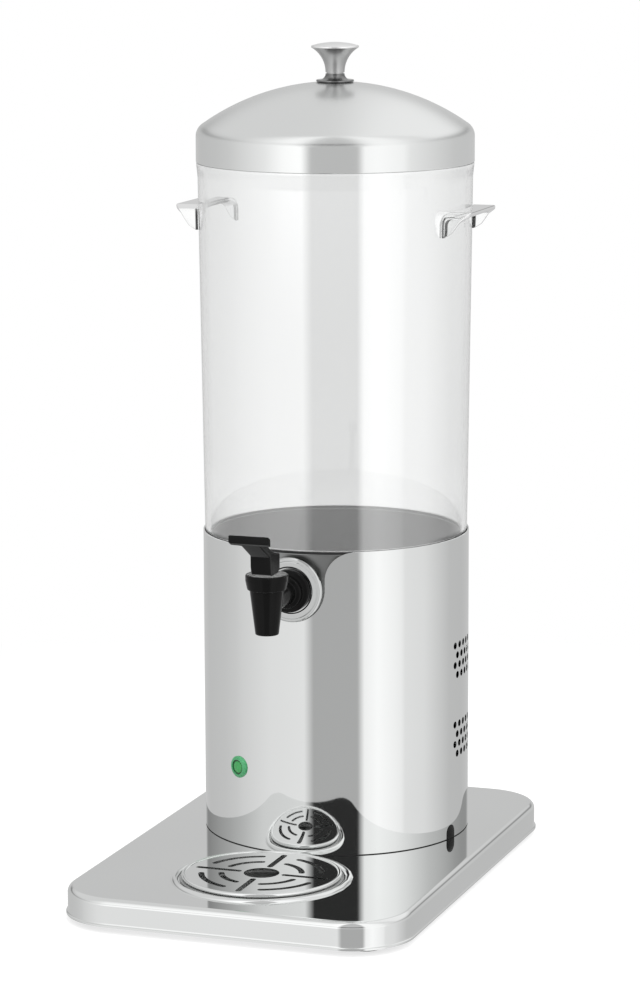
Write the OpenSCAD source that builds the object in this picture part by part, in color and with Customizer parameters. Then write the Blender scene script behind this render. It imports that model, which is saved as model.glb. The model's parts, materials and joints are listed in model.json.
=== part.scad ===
// Refrigerated drink dispenser: clear tank on a cooled steel cup, held in a round steel
// housing on a flat base plate with a drip tray under a lever tap.
// Millimetres, +Z up, front towards -Y, origin on the floor under the middle of the plate.

/* [Base plate] */
// Width of the plate, left to right
plate_w = 220; // [200:1:260]
// Depth of the plate, front to back
plate_d = 332; // [315:1:380]
// Height of the plate's skirt
plate_h = 15.5; // [15:0.5:26]
// Corner radius of the plate, seen from above
plate_corner_r = 38; // [25:1:55]
// Radius of the pressed top edge
plate_edge_r = 4; // [2:0.5:6]
// Thickness of the plate's sheet
plate_t = 1.2; // [0.8:0.1:1.6]
// How far the turned-out lip at the skirt's foot stands proud
lip_out = 1; // [0.5:0.1:2]
// Height of the feet under the skirt
foot_h = 5.5; // [3.5:0.5:10]
// Diameter of a foot
foot_d = 24; // [18:1:32]
// Distance of a foot's middle from the plate's sides
foot_inset = 26; // [22:1:34]
// Thickness of the sheet that closes the plate from below
cover_t = 1; // [0.8:0.1:1.6]

/* [Housing] */
// Outer diameter of the housing
housing_d = 170; // [160:1:180]
// Height of the housing above the plate
housing_h = 194; // [180:1:230]
// Thickness of the housing's sheet
housing_t = 0.8; // [0.6:0.1:1.2]
// Distance of the housing's middle behind the plate's middle
housing_y = 52; // [40:1:60]
// Thickness of the gasket between housing and plate
gasket_t = 0.5; // [0.5:0.1:1.5]
// Diameter of a vent hole
vent_d = 4.5; // [3:0.1:5.5]
// Distance between vent holes in a row, along the wall
vent_pitch = 7; // [6.5:0.1:9]
// Distance between vent rows
vent_row_pitch = 6.4; // [6:0.1:8]
// Vent holes in a row
vent_columns = 6; // [3:1:8]
// Height of the upper vent field's middle above the plate
vent_upper_z = 115; // [100:1:130]
// Height of the lower vent field's middle above the plate
vent_lower_z = 63.5; // [50:0.5:75]
// Width of an arched notch at the housing's foot
arch_w = 10; // [6:0.5:14]
// Height of an arched notch
arch_h = 9; // [8:0.5:14]
// Radius of the shoulders where the tap notch runs into the rim
notch_shoulder_r = 18; // [8:1:22]

/* [Lamp, switch and cord inlet] */
// Diameter of the pilot lamp's bezel
lamp_d = 14; // [10:0.5:18]
// Height of the pilot lamp above the plate
lamp_z = 51; // [35:1:70]
// Turn of the pilot lamp to the left of the front, in degrees
lamp_turn = 27.5; // [20:0.5:40]
// Height of the rear switch above the plate
switch_z = 84; // [78:1:100]
// Height of the switch's opening
switch_h = 20; // [16:0.5:24]
// Width of the switch's opening
switch_w = 13; // [10:0.5:16]
// Height of the cord inlet above the plate
inlet_z = 32; // [26:1:45]
// Bore of the cord inlet
inlet_bore = 7; // [5:0.5:9]

/* [Tank] */
// Height of the clear tube from the housing's rim to the lid's edge
tube_h = 234.6; // [180:0.5:300]
// How much wider the tube's top is than its foot, on the radius
tube_flare = 3; // [1:0.1:5]
// Wall of the clear tube
tube_t = 3.2; // [2:0.1:4]
// Height of the thickened band under the lid
band_h = 9; // [5:0.5:14]
// How far the band stands proud of the tube
band_step = 0.8; // [0.4:0.1:2]
// Height of the neck inside the lid
neck_h = 12; // [8:0.5:13]
// Depth of the steel cup under the rim
cup_depth = 56; // [48:1:62]
// Thickness of the cup's sheet
cup_t = 0.8; // [0.6:0.1:1.2]
// Radius where the cup's wall turns into its floor
cup_corner_r = 10; // [4:1:14]
// Thickness of the seal between cup and tube
seal_t = 1.6; // [1:0.1:2.5]

/* [Handles] */
// Length of a handle, front to back
handle_l = 66; // [50:1:80]
// Height of a handle's front and rear legs
handle_h = 15.5; // [12:0.5:20]
// How far a handle stands out from the tube
handle_out = 11; // [9:0.5:22]
// Wall of a handle
handle_t = 2.8; // [2:0.1:4]
// Distance of a handle's top under the band
handle_drop = 18.1; // [4:0.1:60]

/* [Lid and knob] */
// Height of the lid's straight skirt
lid_skirt_h = 16; // [13:0.5:20]
// Radius of the lid's dome
dome_r = 146; // [130:1:200]
// Radius between skirt and dome
lid_shoulder_r = 9; // [4:0.5:14]
// Thickness of the lid's sheet
lid_t = 0.9; // [0.6:0.1:1.2]
// Diameter of the knob's top
knob_d = 30; // [24:0.5:36]
// Diameter of the knob's foot
knob_foot_d = 23.8; // [18:0.2:28]
// Diameter of the knob's neck
knob_neck_d = 12; // [9:0.5:14]
// Height of the knob's foot
knob_foot_h = 5; // [4:0.5:10]
// Height of the knob's top piece
knob_top_h = 19.5; // [18:0.5:26]

/* [Tap] */
// Depth of the tap's middle under the housing's rim
tap_drop = 24; // [23:0.5:27]
// Distance of the nozzle's axis in front of the housing
tap_reach = 44.5; // [40:0.5:55]
// Diameter of the polished seat ring behind the tap
seat_ring_d = 41; // [34:0.5:42]
// Diameter of the black collar
collar_d = 29.6; // [24:0.2:32]
// Diameter of the threaded shank
shank_d = 14.8; // [13:0.2:15.4]
// Bore of the shank
shank_bore = 8; // [6:0.5:9]
// Radius of the nozzle's mouth
nozzle_mouth_r = 7.2; // [6.8:0.1:8]
// Radius of the nozzle's top
nozzle_top_r = 10.6; // [10.2:0.1:12]
// Length of the nozzle below the tap's middle
nozzle_drop = 19.4; // [17:0.2:26]
// Radius of the bonnet's top
bonnet_r = 13.2; // [12.6:0.1:15]
// Diameter of the valve stem
stem_d = 4.4; // [3.6:0.1:5]
// Lift of the valve stem when the lever is down
valve_lift = 3; // [2:0.1:4]
// Travel of the lever, in degrees
lever_travel = 28; // [20:1:32]
// Width of the lever's paddle
paddle_w = 26; // [18:0.5:32]
// How far the paddle reaches in front of the nozzle's axis
paddle_reach = 32; // [26:0.5:40]
// Thickness of the paddle
paddle_t = 5; // [4:0.2:6]
// Width of the lever's fork
fork_w = 12.6; // [12:0.2:18]
// Diameter of the lever's pin
pin_d = 3; // [2.4:0.1:3.4]

/* [Drip tray] */
// Radius of the drip grid
grid_r = 49.4; // [42:0.2:52]
// Thickness of the grid's sheet
grid_t = 1.2; // [0.8:0.1:2]
// Radius of the grid's middle hole
grid_hole_r = 11; // [7:0.5:12]
// Width of the grid's slots
grid_slot_w = 3.8; // [2.5:0.1:4.5]
// Depth of the drip tray under the plate's top
tray_depth = 11; // [8:0.5:11.5]
// Width of the raised bead round the tray
bead_w = 5; // [3:0.2:7]
// Height of the raised bead
bead_h = 2.4; // [1.5:0.1:3]

/* [Cooling] */
// Side of the fan's frame
fan_w = 92; // [80:1:92]
// Depth of the fan's frame
fan_h = 25; // [18:0.5:27]
// Fan blades
fan_blades = 7; // [5:1:9]
// Length of the heat sink's fins
fin_h = 28; // [20:0.5:30]
// Distance between fins
fin_pitch = 6; // [4:0.5:9]
// Thickness of a fin
fin_t = 1.6; // [1:0.1:2.4]
// Side of the thermoelectric module
module_w = 40; // [30:1:50]
// Thickness of the thermoelectric module
module_t = 4; // [3:0.1:5]
// Thickness of the cold plate
cold_plate_t = 8; // [5:0.5:10]

/* [Hidden] */
$fn = 96;
// Gap between pieces that are fixed to each other
fit = 0.05;
// Radial play of a shaft in its hole
play = 0.06;
// Gap under a piece that rests and lifts off
rest_gap = 0.15;
// Gap between pieces that slide past each other
slide_gap = 0.4;
// Overshoot of a cutting tool
over = 1;

// Base: levels, feet and their screws
plate_top = foot_h + plate_h;
foot_x = plate_w / 2 - foot_inset;
foot_y = plate_d / 2 - foot_inset;
foot_taper = 1;
post_r = 4.5;
foot_screw_r = 1.9;
foot_head_r = 3.8;
foot_head_h = 1.8;
foot_head_sink = 0.3;

// Housing: shell, inward flange at its foot, screws, vents, arches and clips
housing_r = housing_d / 2;
housing_in_r = housing_r - housing_t;
housing_z = plate_top + gasket_t;
rim_z = plate_top + housing_h;
flange_t = 1;
flange_w = 9;
flange_in_r = housing_r - flange_w;
housing_screw_r = 1.8;
housing_screw_at = housing_r - 5;
housing_screw_turn = 40;
housing_head_h = 2;
vent_rows = 4;
vent_first_turn = -8.5;
arch_turn = 12.3;
clip_gap = 0.2;
clip_proud = 1.4;
clip_in_r = flange_in_r + 2;
wall_cut = 10;

// Tank, seal and cup
tube_bot_r = housing_in_r - slide_gap;
tube_top_r = tube_bot_r + tube_flare;
band_r = tube_top_r + band_step;
band_bevel = 1.2;
neck_r = band_r - 1.3;
cup_in_r = tube_bot_r - tube_t - 0.7;
cup_out_r = cup_in_r + cup_t;
seal_z = rim_z - seal_t;
cup_rim_z = seal_z - cup_t;
cup_floor_z = rim_z - cup_depth;
lid_z = rim_z + tube_h;
handle_corner_r = 10;
handle_top_z = tube_h - band_h - handle_drop;

// Lid: overhang past the band, shoulder and dome
lid_r = band_r + 0.2;
lid_base_z = lid_z + rest_gap;
shoulder_c = [lid_r - lid_shoulder_r, lid_skirt_h];
dome_cz = lid_skirt_h - sqrt(pow(dome_r - lid_shoulder_r, 2) - pow(shoulder_c[0], 2));
apex_z = dome_cz + dome_r;
knob_screw_r = 1.9;

// Tap: where it stands, then ring, collar, shank and nut along the shank
tap_z = rim_z - tap_drop;
tap_y = housing_y - housing_r - tap_reach;
seat_ring_r = seat_ring_d / 2;
seat_ring_proud = 4;
seat_ring_step = 0.8;
seat_ring_face_y = housing_y - housing_r - seat_ring_proud;
collar_t = 4;
collar_bevel = 1.2;
hub_t = 5;
hub_y = seat_ring_face_y - collar_t;
shank_r = shank_d / 2;
hub_r = shank_r + 2.8;
gasket_room = 4;
gasket_r = 12.5;
nut_y = housing_y - cup_in_r + gasket_room;
nut_t = 6;
nut_r = 12;
shank_end_y = nut_y + nut_t + 2;

// Tap: heights over the shank's axis, from the valve up to the lever's pin
nozzle_wall = 1.4;
nozzle_bore_r = nozzle_mouth_r - nozzle_wall;
nozzle_top_z = 8.5;
neck_top_z = 16;
body_neck_r = nozzle_top_r - 0.4;
chamber_r = nozzle_mouth_r + 0.4;
chamber_z = -6;
valve_seat_t = 2;
valve_seat_r = nozzle_bore_r - 1.2;
seat_cup_r = chamber_r - 1;
seat_cup_rim_h = 2;
stem_foot_z = chamber_z + 4.5;
stem_flange_z = chamber_z + 6;
stem_flange_t = 1.2;
bonnet_z = nozzle_top_z + 0.3;
bonnet_t = 1.9;
bonnet_top_z = neck_top_z + bonnet_t + 0.3;
bonnet_bevel = 0.6;
spring_in_r = stem_d / 2 + 0.6;
spring_r = 5.2;
heel_r = 7;
heel_gap = 0.3;
pin_z = bonnet_top_z + heel_gap + heel_r;
pin_recess = 0.3;
lift_rate = valve_lift / (lever_travel * PI / 180);
tongue_w = 5;
tongue_r = 3.6;
paddle_rise = 28;

// Lamp and cord inlet: barrels through the wall, measured from its outer face
lamp_wall = 1.2;
lamp_barrel_r = lamp_d / 2 - lamp_wall;
lamp_in_r = lamp_barrel_r - lamp_wall;
lamp_depth = 14;
lamp_out = 2.2;
lens_depth = 10;
inlet_r = inlet_bore / 2;
inlet_barrel_r = inlet_r + 2.5;
inlet_flange_r = inlet_r + 4.5;
inlet_flange_t = 3;
inlet_boss_h = 5;
inlet_depth = 12;
inlet_nut_r = inlet_r + 6;
inlet_nut_depth = 7;

// Switch: frame and rocker, measured from the wall's outer face
switch_wall = 1.2;
switch_flange_w = 2;
switch_flange_t = 2;
switch_depth = 16;
rocker_room = 0.3;
rocker_h = switch_h - 2 * switch_wall - 2 * rocker_room;
rocker_w = switch_w - 2 * switch_wall - 2 * rocker_room;
rocker_axis = -1.5;
rocker_pin_r = 1.2;

// Drip tray and grid
grid_rim_r = 1.3;
tray_rim_r = grid_r + 1.2;
tray_r = grid_r - 2;
tray_t = 0.8;
tray_corner_r = 3;
bead_in_r = tray_rim_r + 0.7;
bead_out_r = bead_in_r + bead_w;
tray_y = housing_y - housing_r - 0.5 - bead_out_r;

// Cooling stack, from the cup down
cold_top_z = cup_floor_z - cup_t - rest_gap;
cold_z = cold_top_z - cold_plate_t;
deck_t = 4;
deck_z = cold_z - deck_t;
sink_top_z = cold_z - module_t;
sink_base_t = 6;
sink_base_z = min(sink_top_z, deck_z) - sink_base_t;
fin_z = sink_base_z - fin_h;
fan_z = fin_z - fan_h;
sink_w = fan_w + 4;
rod_at = fan_w / 2 - 4.75;
rod_r = 2;
rod_foot_r = 4.2;
cold_plate_r = cup_in_r - cup_corner_r - 2;
deck_hole_r = module_w / 2 * sqrt(2) + 3;
fan_bore_r = fan_w / 2 - 2.5;
fan_corner_r = 5;
fan_strut_w = 4;
fan_plate_t = 2.5;
rotor_r = 17;
rotor_room = 4;
rotor_h = fan_h - 2 * rotor_room;
rotor_gap = 0.4;
blade_gap = 1.2;
axle_r = 1.5;

// Shared shapes

// Rectangle with round corners, centred
module round_rect(w, d, r) {
    square([w - 2 * r, d], center = true);
    square([w, d - 2 * r], center = true);
    for (x = [-1, 1], y = [-1, 1])
        translate([x * (w / 2 - r), y * (d / 2 - r)])
            circle(r);
}

// Half outline of a round-cornered cup, for turning about the axis
module cup_half(r, h, corner) {
    square([r - corner, h]);
    translate([0, corner])
        square([r, h - corner]);
    translate([r - corner, corner])
        circle(corner);
}

// Upright opening with a round top, standing on the x axis
module arch(w, h) {
    translate([-w / 2, 0])
        square([w, h - w / 2]);
    intersection() {
        translate([0, h - w / 2])
            circle(w / 2);
        translate([-w / 2, 0])
            square([w, h]);
    }
}

// Ledge outline with two legs and round upper corners
module ledge(l, h, r) {
    translate([-l / 2, 0])
        square([l, h - r]);
    translate([r - l / 2, 0])
        square([l - 2 * r, h]);
    for (s = [-1, 1])
        translate([s * (l / 2 - r), h - r])
            circle(r);
}

// Moves to the housing's axis
module at_housing(z) {
    translate([0, housing_y, z])
        children();
}

// Turns a piece drawn along +Z so that it points straight out of the housing's wall
module on_wall(turn, z) {
    at_housing(z)
        rotate([0, 0, turn])
            translate([housing_r, 0, 0])
                rotate([0, 90, 0])
                    rotate([0, 0, 90])
                        children();
}

// Moves to the tap's middle
module at_tap() {
    translate([0, tap_y, tap_z])
        children();
}

// Turns a piece drawn along +Z so that it points to the front, from the tap's axis height
module along_shank(y) {
    translate([0, y, tap_z])
        rotate([90, 0, 0])
            children();
}

module at_feet() {
    for (x = [-1, 1], y = [-1, 1])
        translate([x * foot_x, y * foot_y, 0])
            children();
}

module at_housing_screws() {
    for (s = [0, 1], t = [-1, 1])
        at_housing(0)
            rotate([0, 0, 90 + s * 180 + t * housing_screw_turn])
                translate([housing_screw_at, 0, 0])
                    children();
}

module at_rods() {
    for (x = [-1, 1], y = [-1, 1])
        at_housing(0)
            translate([x * rod_at, y * rod_at, 0])
                children();
}

// Base

// Section of the pressed skirt, with its outer face on the y axis
module skirt_section() {
    translate([-plate_t, 0])
        square([plate_t, plate_h - plate_edge_r]);
    translate([-plate_t, 0])
        square([plate_t + lip_out, plate_t]);
    difference() {
        translate([-plate_edge_r, plate_h - plate_edge_r])
            circle(plate_edge_r);
        translate([-plate_edge_r, plate_h - plate_edge_r])
            circle(plate_edge_r - plate_t);
        translate([-2 * plate_edge_r - over, plate_h - 2 * plate_edge_r - over])
            square([plate_edge_r + over, 2 * plate_edge_r + 2 * over]);
        translate([-2 * plate_edge_r, plate_h - 2 * plate_edge_r - over])
            square([2 * plate_edge_r + over, plate_edge_r + over]);
    }
}

module plate_skirt() {
    straight_x = plate_w - 2 * plate_corner_r;
    straight_y = plate_d - 2 * plate_corner_r;
    for (i = [0 : 3]) {
        along = i % 2 == 0 ? straight_y : straight_x;
        out = i % 2 == 0 ? straight_x : straight_y;
        rotate([0, 0, 90 * i]) {
            translate([out / 2 + plate_corner_r, along / 2, 0])
                rotate([90, 0, 0])
                    linear_extrude(along)
                        skirt_section();
            translate([out / 2, along / 2, 0])
                rotate_extrude(angle = 90)
                    translate([plate_corner_r, 0])
                        skirt_section();
        }
    }
}

module base_plate() {
    color("gainsboro")
        difference() {
            union() {
                translate([0, 0, foot_h])
                    plate_skirt();
                translate([0, 0, plate_top - plate_t])
                    linear_extrude(plate_t)
                        round_rect(plate_w - 2 * plate_edge_r, plate_d - 2 * plate_edge_r,
                                   plate_corner_r - plate_edge_r);
                translate([0, tray_y, plate_top])
                    tray_bead();
                at_feet()
                    translate([0, 0, foot_h + cover_t])
                        cylinder(h = plate_h - cover_t - plate_t, r = post_r);
            }
            translate([0, tray_y, plate_top - plate_t - over])
                cylinder(h = plate_t + 2 * over, r = tray_r + slide_gap);
            at_feet()
                translate([0, 0, foot_h])
                    cylinder(h = plate_h - 2 * plate_t, r = foot_screw_r + fit);
            at_housing_screws()
                translate([0, 0, plate_top - plate_t - over])
                    cylinder(h = plate_t + 2 * over, r = housing_screw_r + fit);
        }
}

// Raised ring pressed into the plate round the tray
module tray_bead() {
    crown_r = (pow(bead_w / 2, 2) + pow(bead_h, 2)) / (2 * bead_h);
    rotate_extrude()
        intersection() {
            translate([(bead_in_r + bead_out_r) / 2, bead_h - crown_r])
                circle(crown_r);
            translate([bead_in_r, 0])
                square([bead_w, bead_h + over]);
        }
}

module bottom_cover() {
    inset = plate_t + slide_gap;
    color("silver")
        translate([0, 0, foot_h])
            difference() {
                linear_extrude(cover_t)
                    round_rect(plate_w - 2 * inset, plate_d - 2 * inset, plate_corner_r - inset);
                at_feet()
                    translate([0, 0, -over])
                        cylinder(h = cover_t + 2 * over, r = foot_screw_r + fit);
            }
}

module rubber_feet() {
    color("dimgray")
        at_feet()
            difference() {
                cylinder(h = foot_h, r1 = foot_d / 2 - foot_taper, r2 = foot_d / 2);
                translate([0, 0, -over])
                    cylinder(h = foot_h + 2 * over, r = foot_screw_r + fit);
                translate([0, 0, -over])
                    cylinder(h = foot_head_sink + foot_head_h + over, r = foot_head_r + clip_gap);
            }
}

module foot_screws() {
    color("lightgray")
        at_feet()
            translate([0, 0, foot_head_sink]) {
                cylinder(h = foot_head_h, r = foot_head_r);
                cylinder(h = foot_h + plate_h / 2, r = foot_screw_r);
            }
}

module base_gasket() {
    color("black")
        difference() {
            at_housing(plate_top)
                cylinder(h = gasket_t, r = housing_r - clip_gap);
            at_housing(plate_top - over)
                cylinder(h = gasket_t + 2 * over, r = flange_in_r);
            foot_arches(plate_top - over, gasket_t + 2 * over);
            at_housing_screws()
                translate([0, 0, plate_top - over])
                    cylinder(h = gasket_t + 2 * over, r = housing_screw_r + fit);
        }
}

// Housing

// Front opening that lets the tank drop in with its tap fitted
module tap_notch(r, gap) {
    half_w = seat_ring_r + gap;
    top = rim_z - tap_z;
    translate([0, housing_y, tap_z])
        rotate([90, 0, 0])
            linear_extrude(r + over) {
                circle(half_w);
                translate([-half_w, 0])
                    square([2 * half_w, top + over]);
                difference() {
                    translate([-half_w - notch_shoulder_r, top - notch_shoulder_r])
                        square([2 * (half_w + notch_shoulder_r), notch_shoulder_r + over]);
                    for (s = [-1, 1])
                        translate([s * (half_w + notch_shoulder_r), top - notch_shoulder_r])
                            circle(notch_shoulder_r);
                }
            }
}

// Straight cuts at the housing's foot where the clips sit
module foot_arches(z, h) {
    for (s = [-1, 1])
        at_housing(z)
            rotate([0, 0, s < 0 ? 180 + arch_turn : -arch_turn])
                translate([flange_in_r - over, -arch_w / 2, 0])
                    cube([housing_r - flange_in_r + 2 * over, arch_w, h]);
}

module clip_cuts(gap) {
    for (s = [-1, 1])
        at_housing(plate_top)
            rotate([0, 0, s < 0 ? 180 + arch_turn : -arch_turn])
                translate([flange_in_r - over, 0, 0])
                    rotate([90, 0, 90])
                        linear_extrude(housing_r - flange_in_r + 4 * over)
                            arch(arch_w - 2 * gap, arch_h - gap);
}

// Cuts an outline straight through the housing's wall
module through_wall(turn, z) {
    on_wall(turn, z)
        translate([0, 0, -wall_cut / 2])
            linear_extrude(wall_cut)
                children();
}

// Field of staggered vent holes in the right or left wall
module vent_field(side, z) {
    step = vent_pitch / housing_r * 180 / PI;
    for (row = [0 : vent_rows - 1], col = [0 : vent_columns - 1]) {
        turn = vent_first_turn + (col + (row % 2) / 2) * step;
        row_z = z + ((vent_rows - 1) / 2 - row) * vent_row_pitch;
        through_wall(side > 0 ? turn : 180 - turn, plate_top + row_z)
            circle(d = vent_d, $fn = 24);
    }
}

module housing_shell() {
    color("lightgray")
        difference() {
            union() {
                difference() {
                    at_housing(housing_z)
                        cylinder(h = rim_z - housing_z, r = housing_r);
                    at_housing(housing_z - over)
                        cylinder(h = rim_z - housing_z + 2 * over, r = housing_in_r);
                }
                difference() {
                    at_housing(housing_z)
                        cylinder(h = flange_t, r = housing_in_r + housing_t / 2);
                    at_housing(housing_z - over)
                        cylinder(h = flange_t + 2 * over, r = flange_in_r);
                }
            }
            tap_notch(housing_r, slide_gap);
            clip_cuts(0);
            for (side = [-1, 1], z = [vent_upper_z, vent_lower_z])
                vent_field(side, z);
            through_wall(-90 - lamp_turn, plate_top + lamp_z)
                circle(lamp_barrel_r + fit);
            through_wall(90, plate_top + switch_z)
                square([switch_w + 2 * fit, switch_h + 2 * fit], center = true);
            through_wall(90, plate_top + inlet_z)
                circle(inlet_barrel_r + fit);
            at_housing_screws()
                translate([0, 0, housing_z - over])
                    cylinder(h = flange_t + 2 * over, r = housing_screw_r + fit);
        }
}

module housing_screws() {
    color("silver")
        at_housing_screws()
            translate([0, 0, plate_top - plate_t - housing_head_h]) {
                cylinder(h = housing_head_h, r = 2 * housing_screw_r);
                cylinder(h = 2 * housing_head_h + plate_t + gasket_t + flange_t, r = housing_screw_r);
            }
}

module base_clips() {
    color("black")
        difference() {
            translate([0, 0, fit])
                clip_cuts(clip_gap);
            at_housing(plate_top - over)
                cylinder(h = arch_h + 2 * over, r = clip_in_r);
            difference() {
                at_housing(plate_top - over)
                    cylinder(h = arch_h + 2 * over, r = housing_r + flange_w);
                at_housing(plate_top - 2 * over)
                    cylinder(h = arch_h + 4 * over, r = housing_r + clip_proud);
            }
        }
}

// Foam between the cup and the housing, open at the tap
module insulation_sleeve() {
    color("whitesmoke")
        difference() {
            at_housing(cold_z)
                cylinder(h = cup_rim_z - rest_gap - cold_z, r = housing_in_r - fit);
            at_housing(cold_z - over)
                cylinder(h = cup_rim_z - cold_z + 2 * over, r = cup_out_r + slide_gap);
            tap_notch(housing_r, slide_gap);
        }
}

// Cooling unit

module support_deck() {
    color("dimgray")
        difference() {
            at_housing(deck_z)
                cylinder(h = deck_t, r = housing_in_r - fit);
            at_housing(deck_z - over)
                cylinder(h = deck_t + 2 * over, r = deck_hole_r);
            at_rods()
                translate([0, 0, deck_z - over])
                    cylinder(h = deck_t, r = rod_r + fit);
        }
}

module cold_plate() {
    color("silver")
        at_housing(cold_z)
            cylinder(h = cold_plate_t, r = cold_plate_r);
}

module cooling_module() {
    color("white")
        at_housing(cold_z - module_t)
            translate([-module_w / 2, -module_w / 2, 0])
                cube([module_w, module_w, module_t]);
}

module heat_sink() {
    fin_span = 2 * (rod_at - rod_r - 3);
    fins = floor(fin_span / fin_pitch);
    color("lightgray")
        difference() {
            at_housing(0) {
                translate([-sink_w / 2, -sink_w / 2, sink_base_z])
                    cube([sink_w, sink_w, sink_base_t]);
                translate([-module_w / 2, -module_w / 2, sink_base_z])
                    cube([module_w, module_w, sink_top_z - sink_base_z]);
                for (i = [0 : fins])
                    translate([(i - fins / 2) * fin_pitch - fin_t / 2, -sink_w / 2, fin_z])
                        cube([fin_t, sink_w, fin_h + over]);
            }
            at_rods()
                translate([0, 0, sink_base_z - over])
                    cylinder(h = sink_base_t + 2 * over, r = rod_r + fit);
        }
}

module fan_frame() {
    color("black")
        at_housing(fan_z)
            difference() {
                union() {
                    difference() {
                        linear_extrude(fan_h)
                            round_rect(fan_w, fan_w, fan_corner_r);
                        translate([0, 0, -over])
                            cylinder(h = fan_h + 2 * over, r = fan_bore_r);
                    }
                    cylinder(h = fan_plate_t, r = rotor_r);
                    for (i = [0 : 3])
                        rotate([0, 0, 90 * i])
                            translate([rotor_r - over, -fan_strut_w / 2, 0])
                                cube([fan_bore_r - rotor_r + 2 * over, fan_strut_w, fan_plate_t]);
                    cylinder(h = fan_plate_t + rotor_h / 2, r = axle_r);
                }
                for (x = [-1, 1], y = [-1, 1])
                    translate([x * rod_at, y * rod_at, -over])
                        cylinder(h = fan_h + 2 * over, r = rod_r + fit);
            }
}

module fan_rotor() {
    blade_t = 1.6;
    blade_pitch = 38;
    color("dimgray")
        at_housing(fan_z + fan_plate_t + rotor_gap)
            difference() {
                union() {
                    cylinder(h = rotor_h, r = rotor_r);
                    intersection() {
                        difference() {
                            cylinder(h = rotor_h, r = fan_bore_r - blade_gap);
                            translate([0, 0, -over])
                                cylinder(h = rotor_h + 2 * over, r = rotor_r - over);
                        }
                        for (i = [0 : fan_blades - 1])
                            rotate([0, 0, 360 / fan_blades * i])
                                translate([0, 0, rotor_h / 2])
                                    rotate([blade_pitch, 0, 0])
                                        translate([0, -fan_h, -blade_t / 2])
                                            cube([fan_bore_r, 2 * fan_h, blade_t]);
                    }
                }
                translate([0, 0, -over])
                    cylinder(h = rotor_h / 2 + over, r = axle_r + play);
            }
}

module tie_rods() {
    color("silver")
        at_rods() {
            translate([0, 0, plate_top])
                cylinder(h = fan_z - plate_top, r = rod_foot_r);
            translate([0, 0, plate_top])
                cylinder(h = deck_z + deck_t - 2 - plate_top, r = rod_r);
        }
}

// Sealed supply with ribbed sides, on the plate under the fan
module power_supply() {
    w = 64;
    d = 52;
    h = 30;
    ribs = 7;
    rib_out = 1.5;
    rib_t = 2;
    rib_pitch = 6;
    color("dimgray")
        at_housing(plate_top) {
            linear_extrude(h)
                round_rect(w, d, 4);
            for (i = [0 : ribs - 1])
                translate([-w / 2 - rib_out, (i - (ribs - 1) / 2) * rib_pitch - rib_t / 2, 0])
                    cube([w + 2 * rib_out, rib_t, h - rib_pitch]);
        }
}

// Lamp, switch and inlet

// Tube with a bevelled rim outside the wall
module lamp_bezel() {
    r = lamp_d / 2;
    bevel = 1;
    color("mediumseagreen")
        difference() {
            on_wall(-90 - lamp_turn, plate_top + lamp_z)
                difference() {
                    union() {
                        translate([0, 0, -lamp_out])
                            cylinder(h = 2 * lamp_out - bevel, r = r);
                        translate([0, 0, lamp_out - bevel])
                            cylinder(h = bevel, r1 = r, r2 = r - bevel);
                        translate([0, 0, -lamp_depth])
                            cylinder(h = lamp_depth, r = lamp_barrel_r);
                    }
                    translate([0, 0, -lens_depth])
                        cylinder(h = lens_depth + lamp_out + over, r = lamp_in_r);
                }
            difference() {
                at_housing(plate_top + lamp_z - lamp_d)
                    cylinder(h = 2 * lamp_d, r = housing_r + fit);
                on_wall(-90 - lamp_turn, plate_top + lamp_z)
                    translate([0, 0, -lamp_depth - over])
                        cylinder(h = lamp_depth + lamp_out, r = lamp_barrel_r);
            }
        }
}

module lamp_lens() {
    r = lamp_in_r - fit;
    dome = 2.4;
    sphere_r = (r * r + dome * dome) / (2 * dome);
    color("limegreen")
        on_wall(-90 - lamp_turn, plate_top + lamp_z) {
            translate([0, 0, fit - lens_depth])
                cylinder(h = lens_depth + 1.2, r = r);
            intersection() {
                translate([0, 0, 1 + dome - sphere_r])
                    sphere(sphere_r);
                cylinder(h = lens_depth, r = r);
            }
        }
}

// Black frame with the pin that the rocker turns on
module switch_frame() {
    color("black")
        difference() {
            on_wall(90, plate_top + switch_z) {
                difference() {
                    union() {
                        translate([0, 0, -switch_flange_t])
                            linear_extrude(2 * switch_flange_t)
                                round_rect(switch_w + 2 * switch_flange_w, switch_h + 2 * switch_flange_w,
                                           switch_flange_w);
                        translate([0, 0, -switch_depth])
                            linear_extrude(switch_depth)
                                square([switch_w, switch_h], center = true);
                    }
                    translate([0, 0, switch_flange_t - switch_depth])
                        linear_extrude(switch_depth + over)
                            square([switch_w - 2 * switch_wall, switch_h - 2 * switch_wall], center = true);
                }
                translate([-switch_w / 2 + switch_wall / 2, 0, rocker_axis])
                    rotate([0, 90, 0])
                        cylinder(h = switch_w - switch_wall, r = rocker_pin_r);
            }
            difference() {
                at_housing(plate_top + switch_z - switch_h)
                    cylinder(h = 2 * switch_h, r = housing_r + fit);
                on_wall(90, plate_top + switch_z)
                    translate([0, 0, -switch_depth - over])
                        linear_extrude(switch_depth + 2 * over + switch_flange_t)
                            square([switch_w, switch_h], center = true);
            }
        }
}

// Rocker with two sloping faces that meet over the pin
module switch_rocker() {
    rise = 3.2;
    slope = 0.9;
    top = rocker_h / 2 - 0.5;
    foot = rocker_h / 2 - 1.2;
    foot_z = rocker_axis - rocker_pin_r - 1;
    color("dimgray")
        on_wall(90, plate_top + switch_z)
            difference() {
                translate([-rocker_w / 2, 0, 0])
                    rotate([90, 0, 90])
                        linear_extrude(rocker_w)
                            polygon([
                                [-top, rise], [0, rise - slope], [top, rise],
                                [foot, foot_z], [-foot, foot_z]
                            ]);
                translate([-switch_w / 2, 0, rocker_axis])
                    rotate([0, 90, 0])
                        cylinder(h = switch_w, r = rocker_pin_r + play);
            }
}

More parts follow.
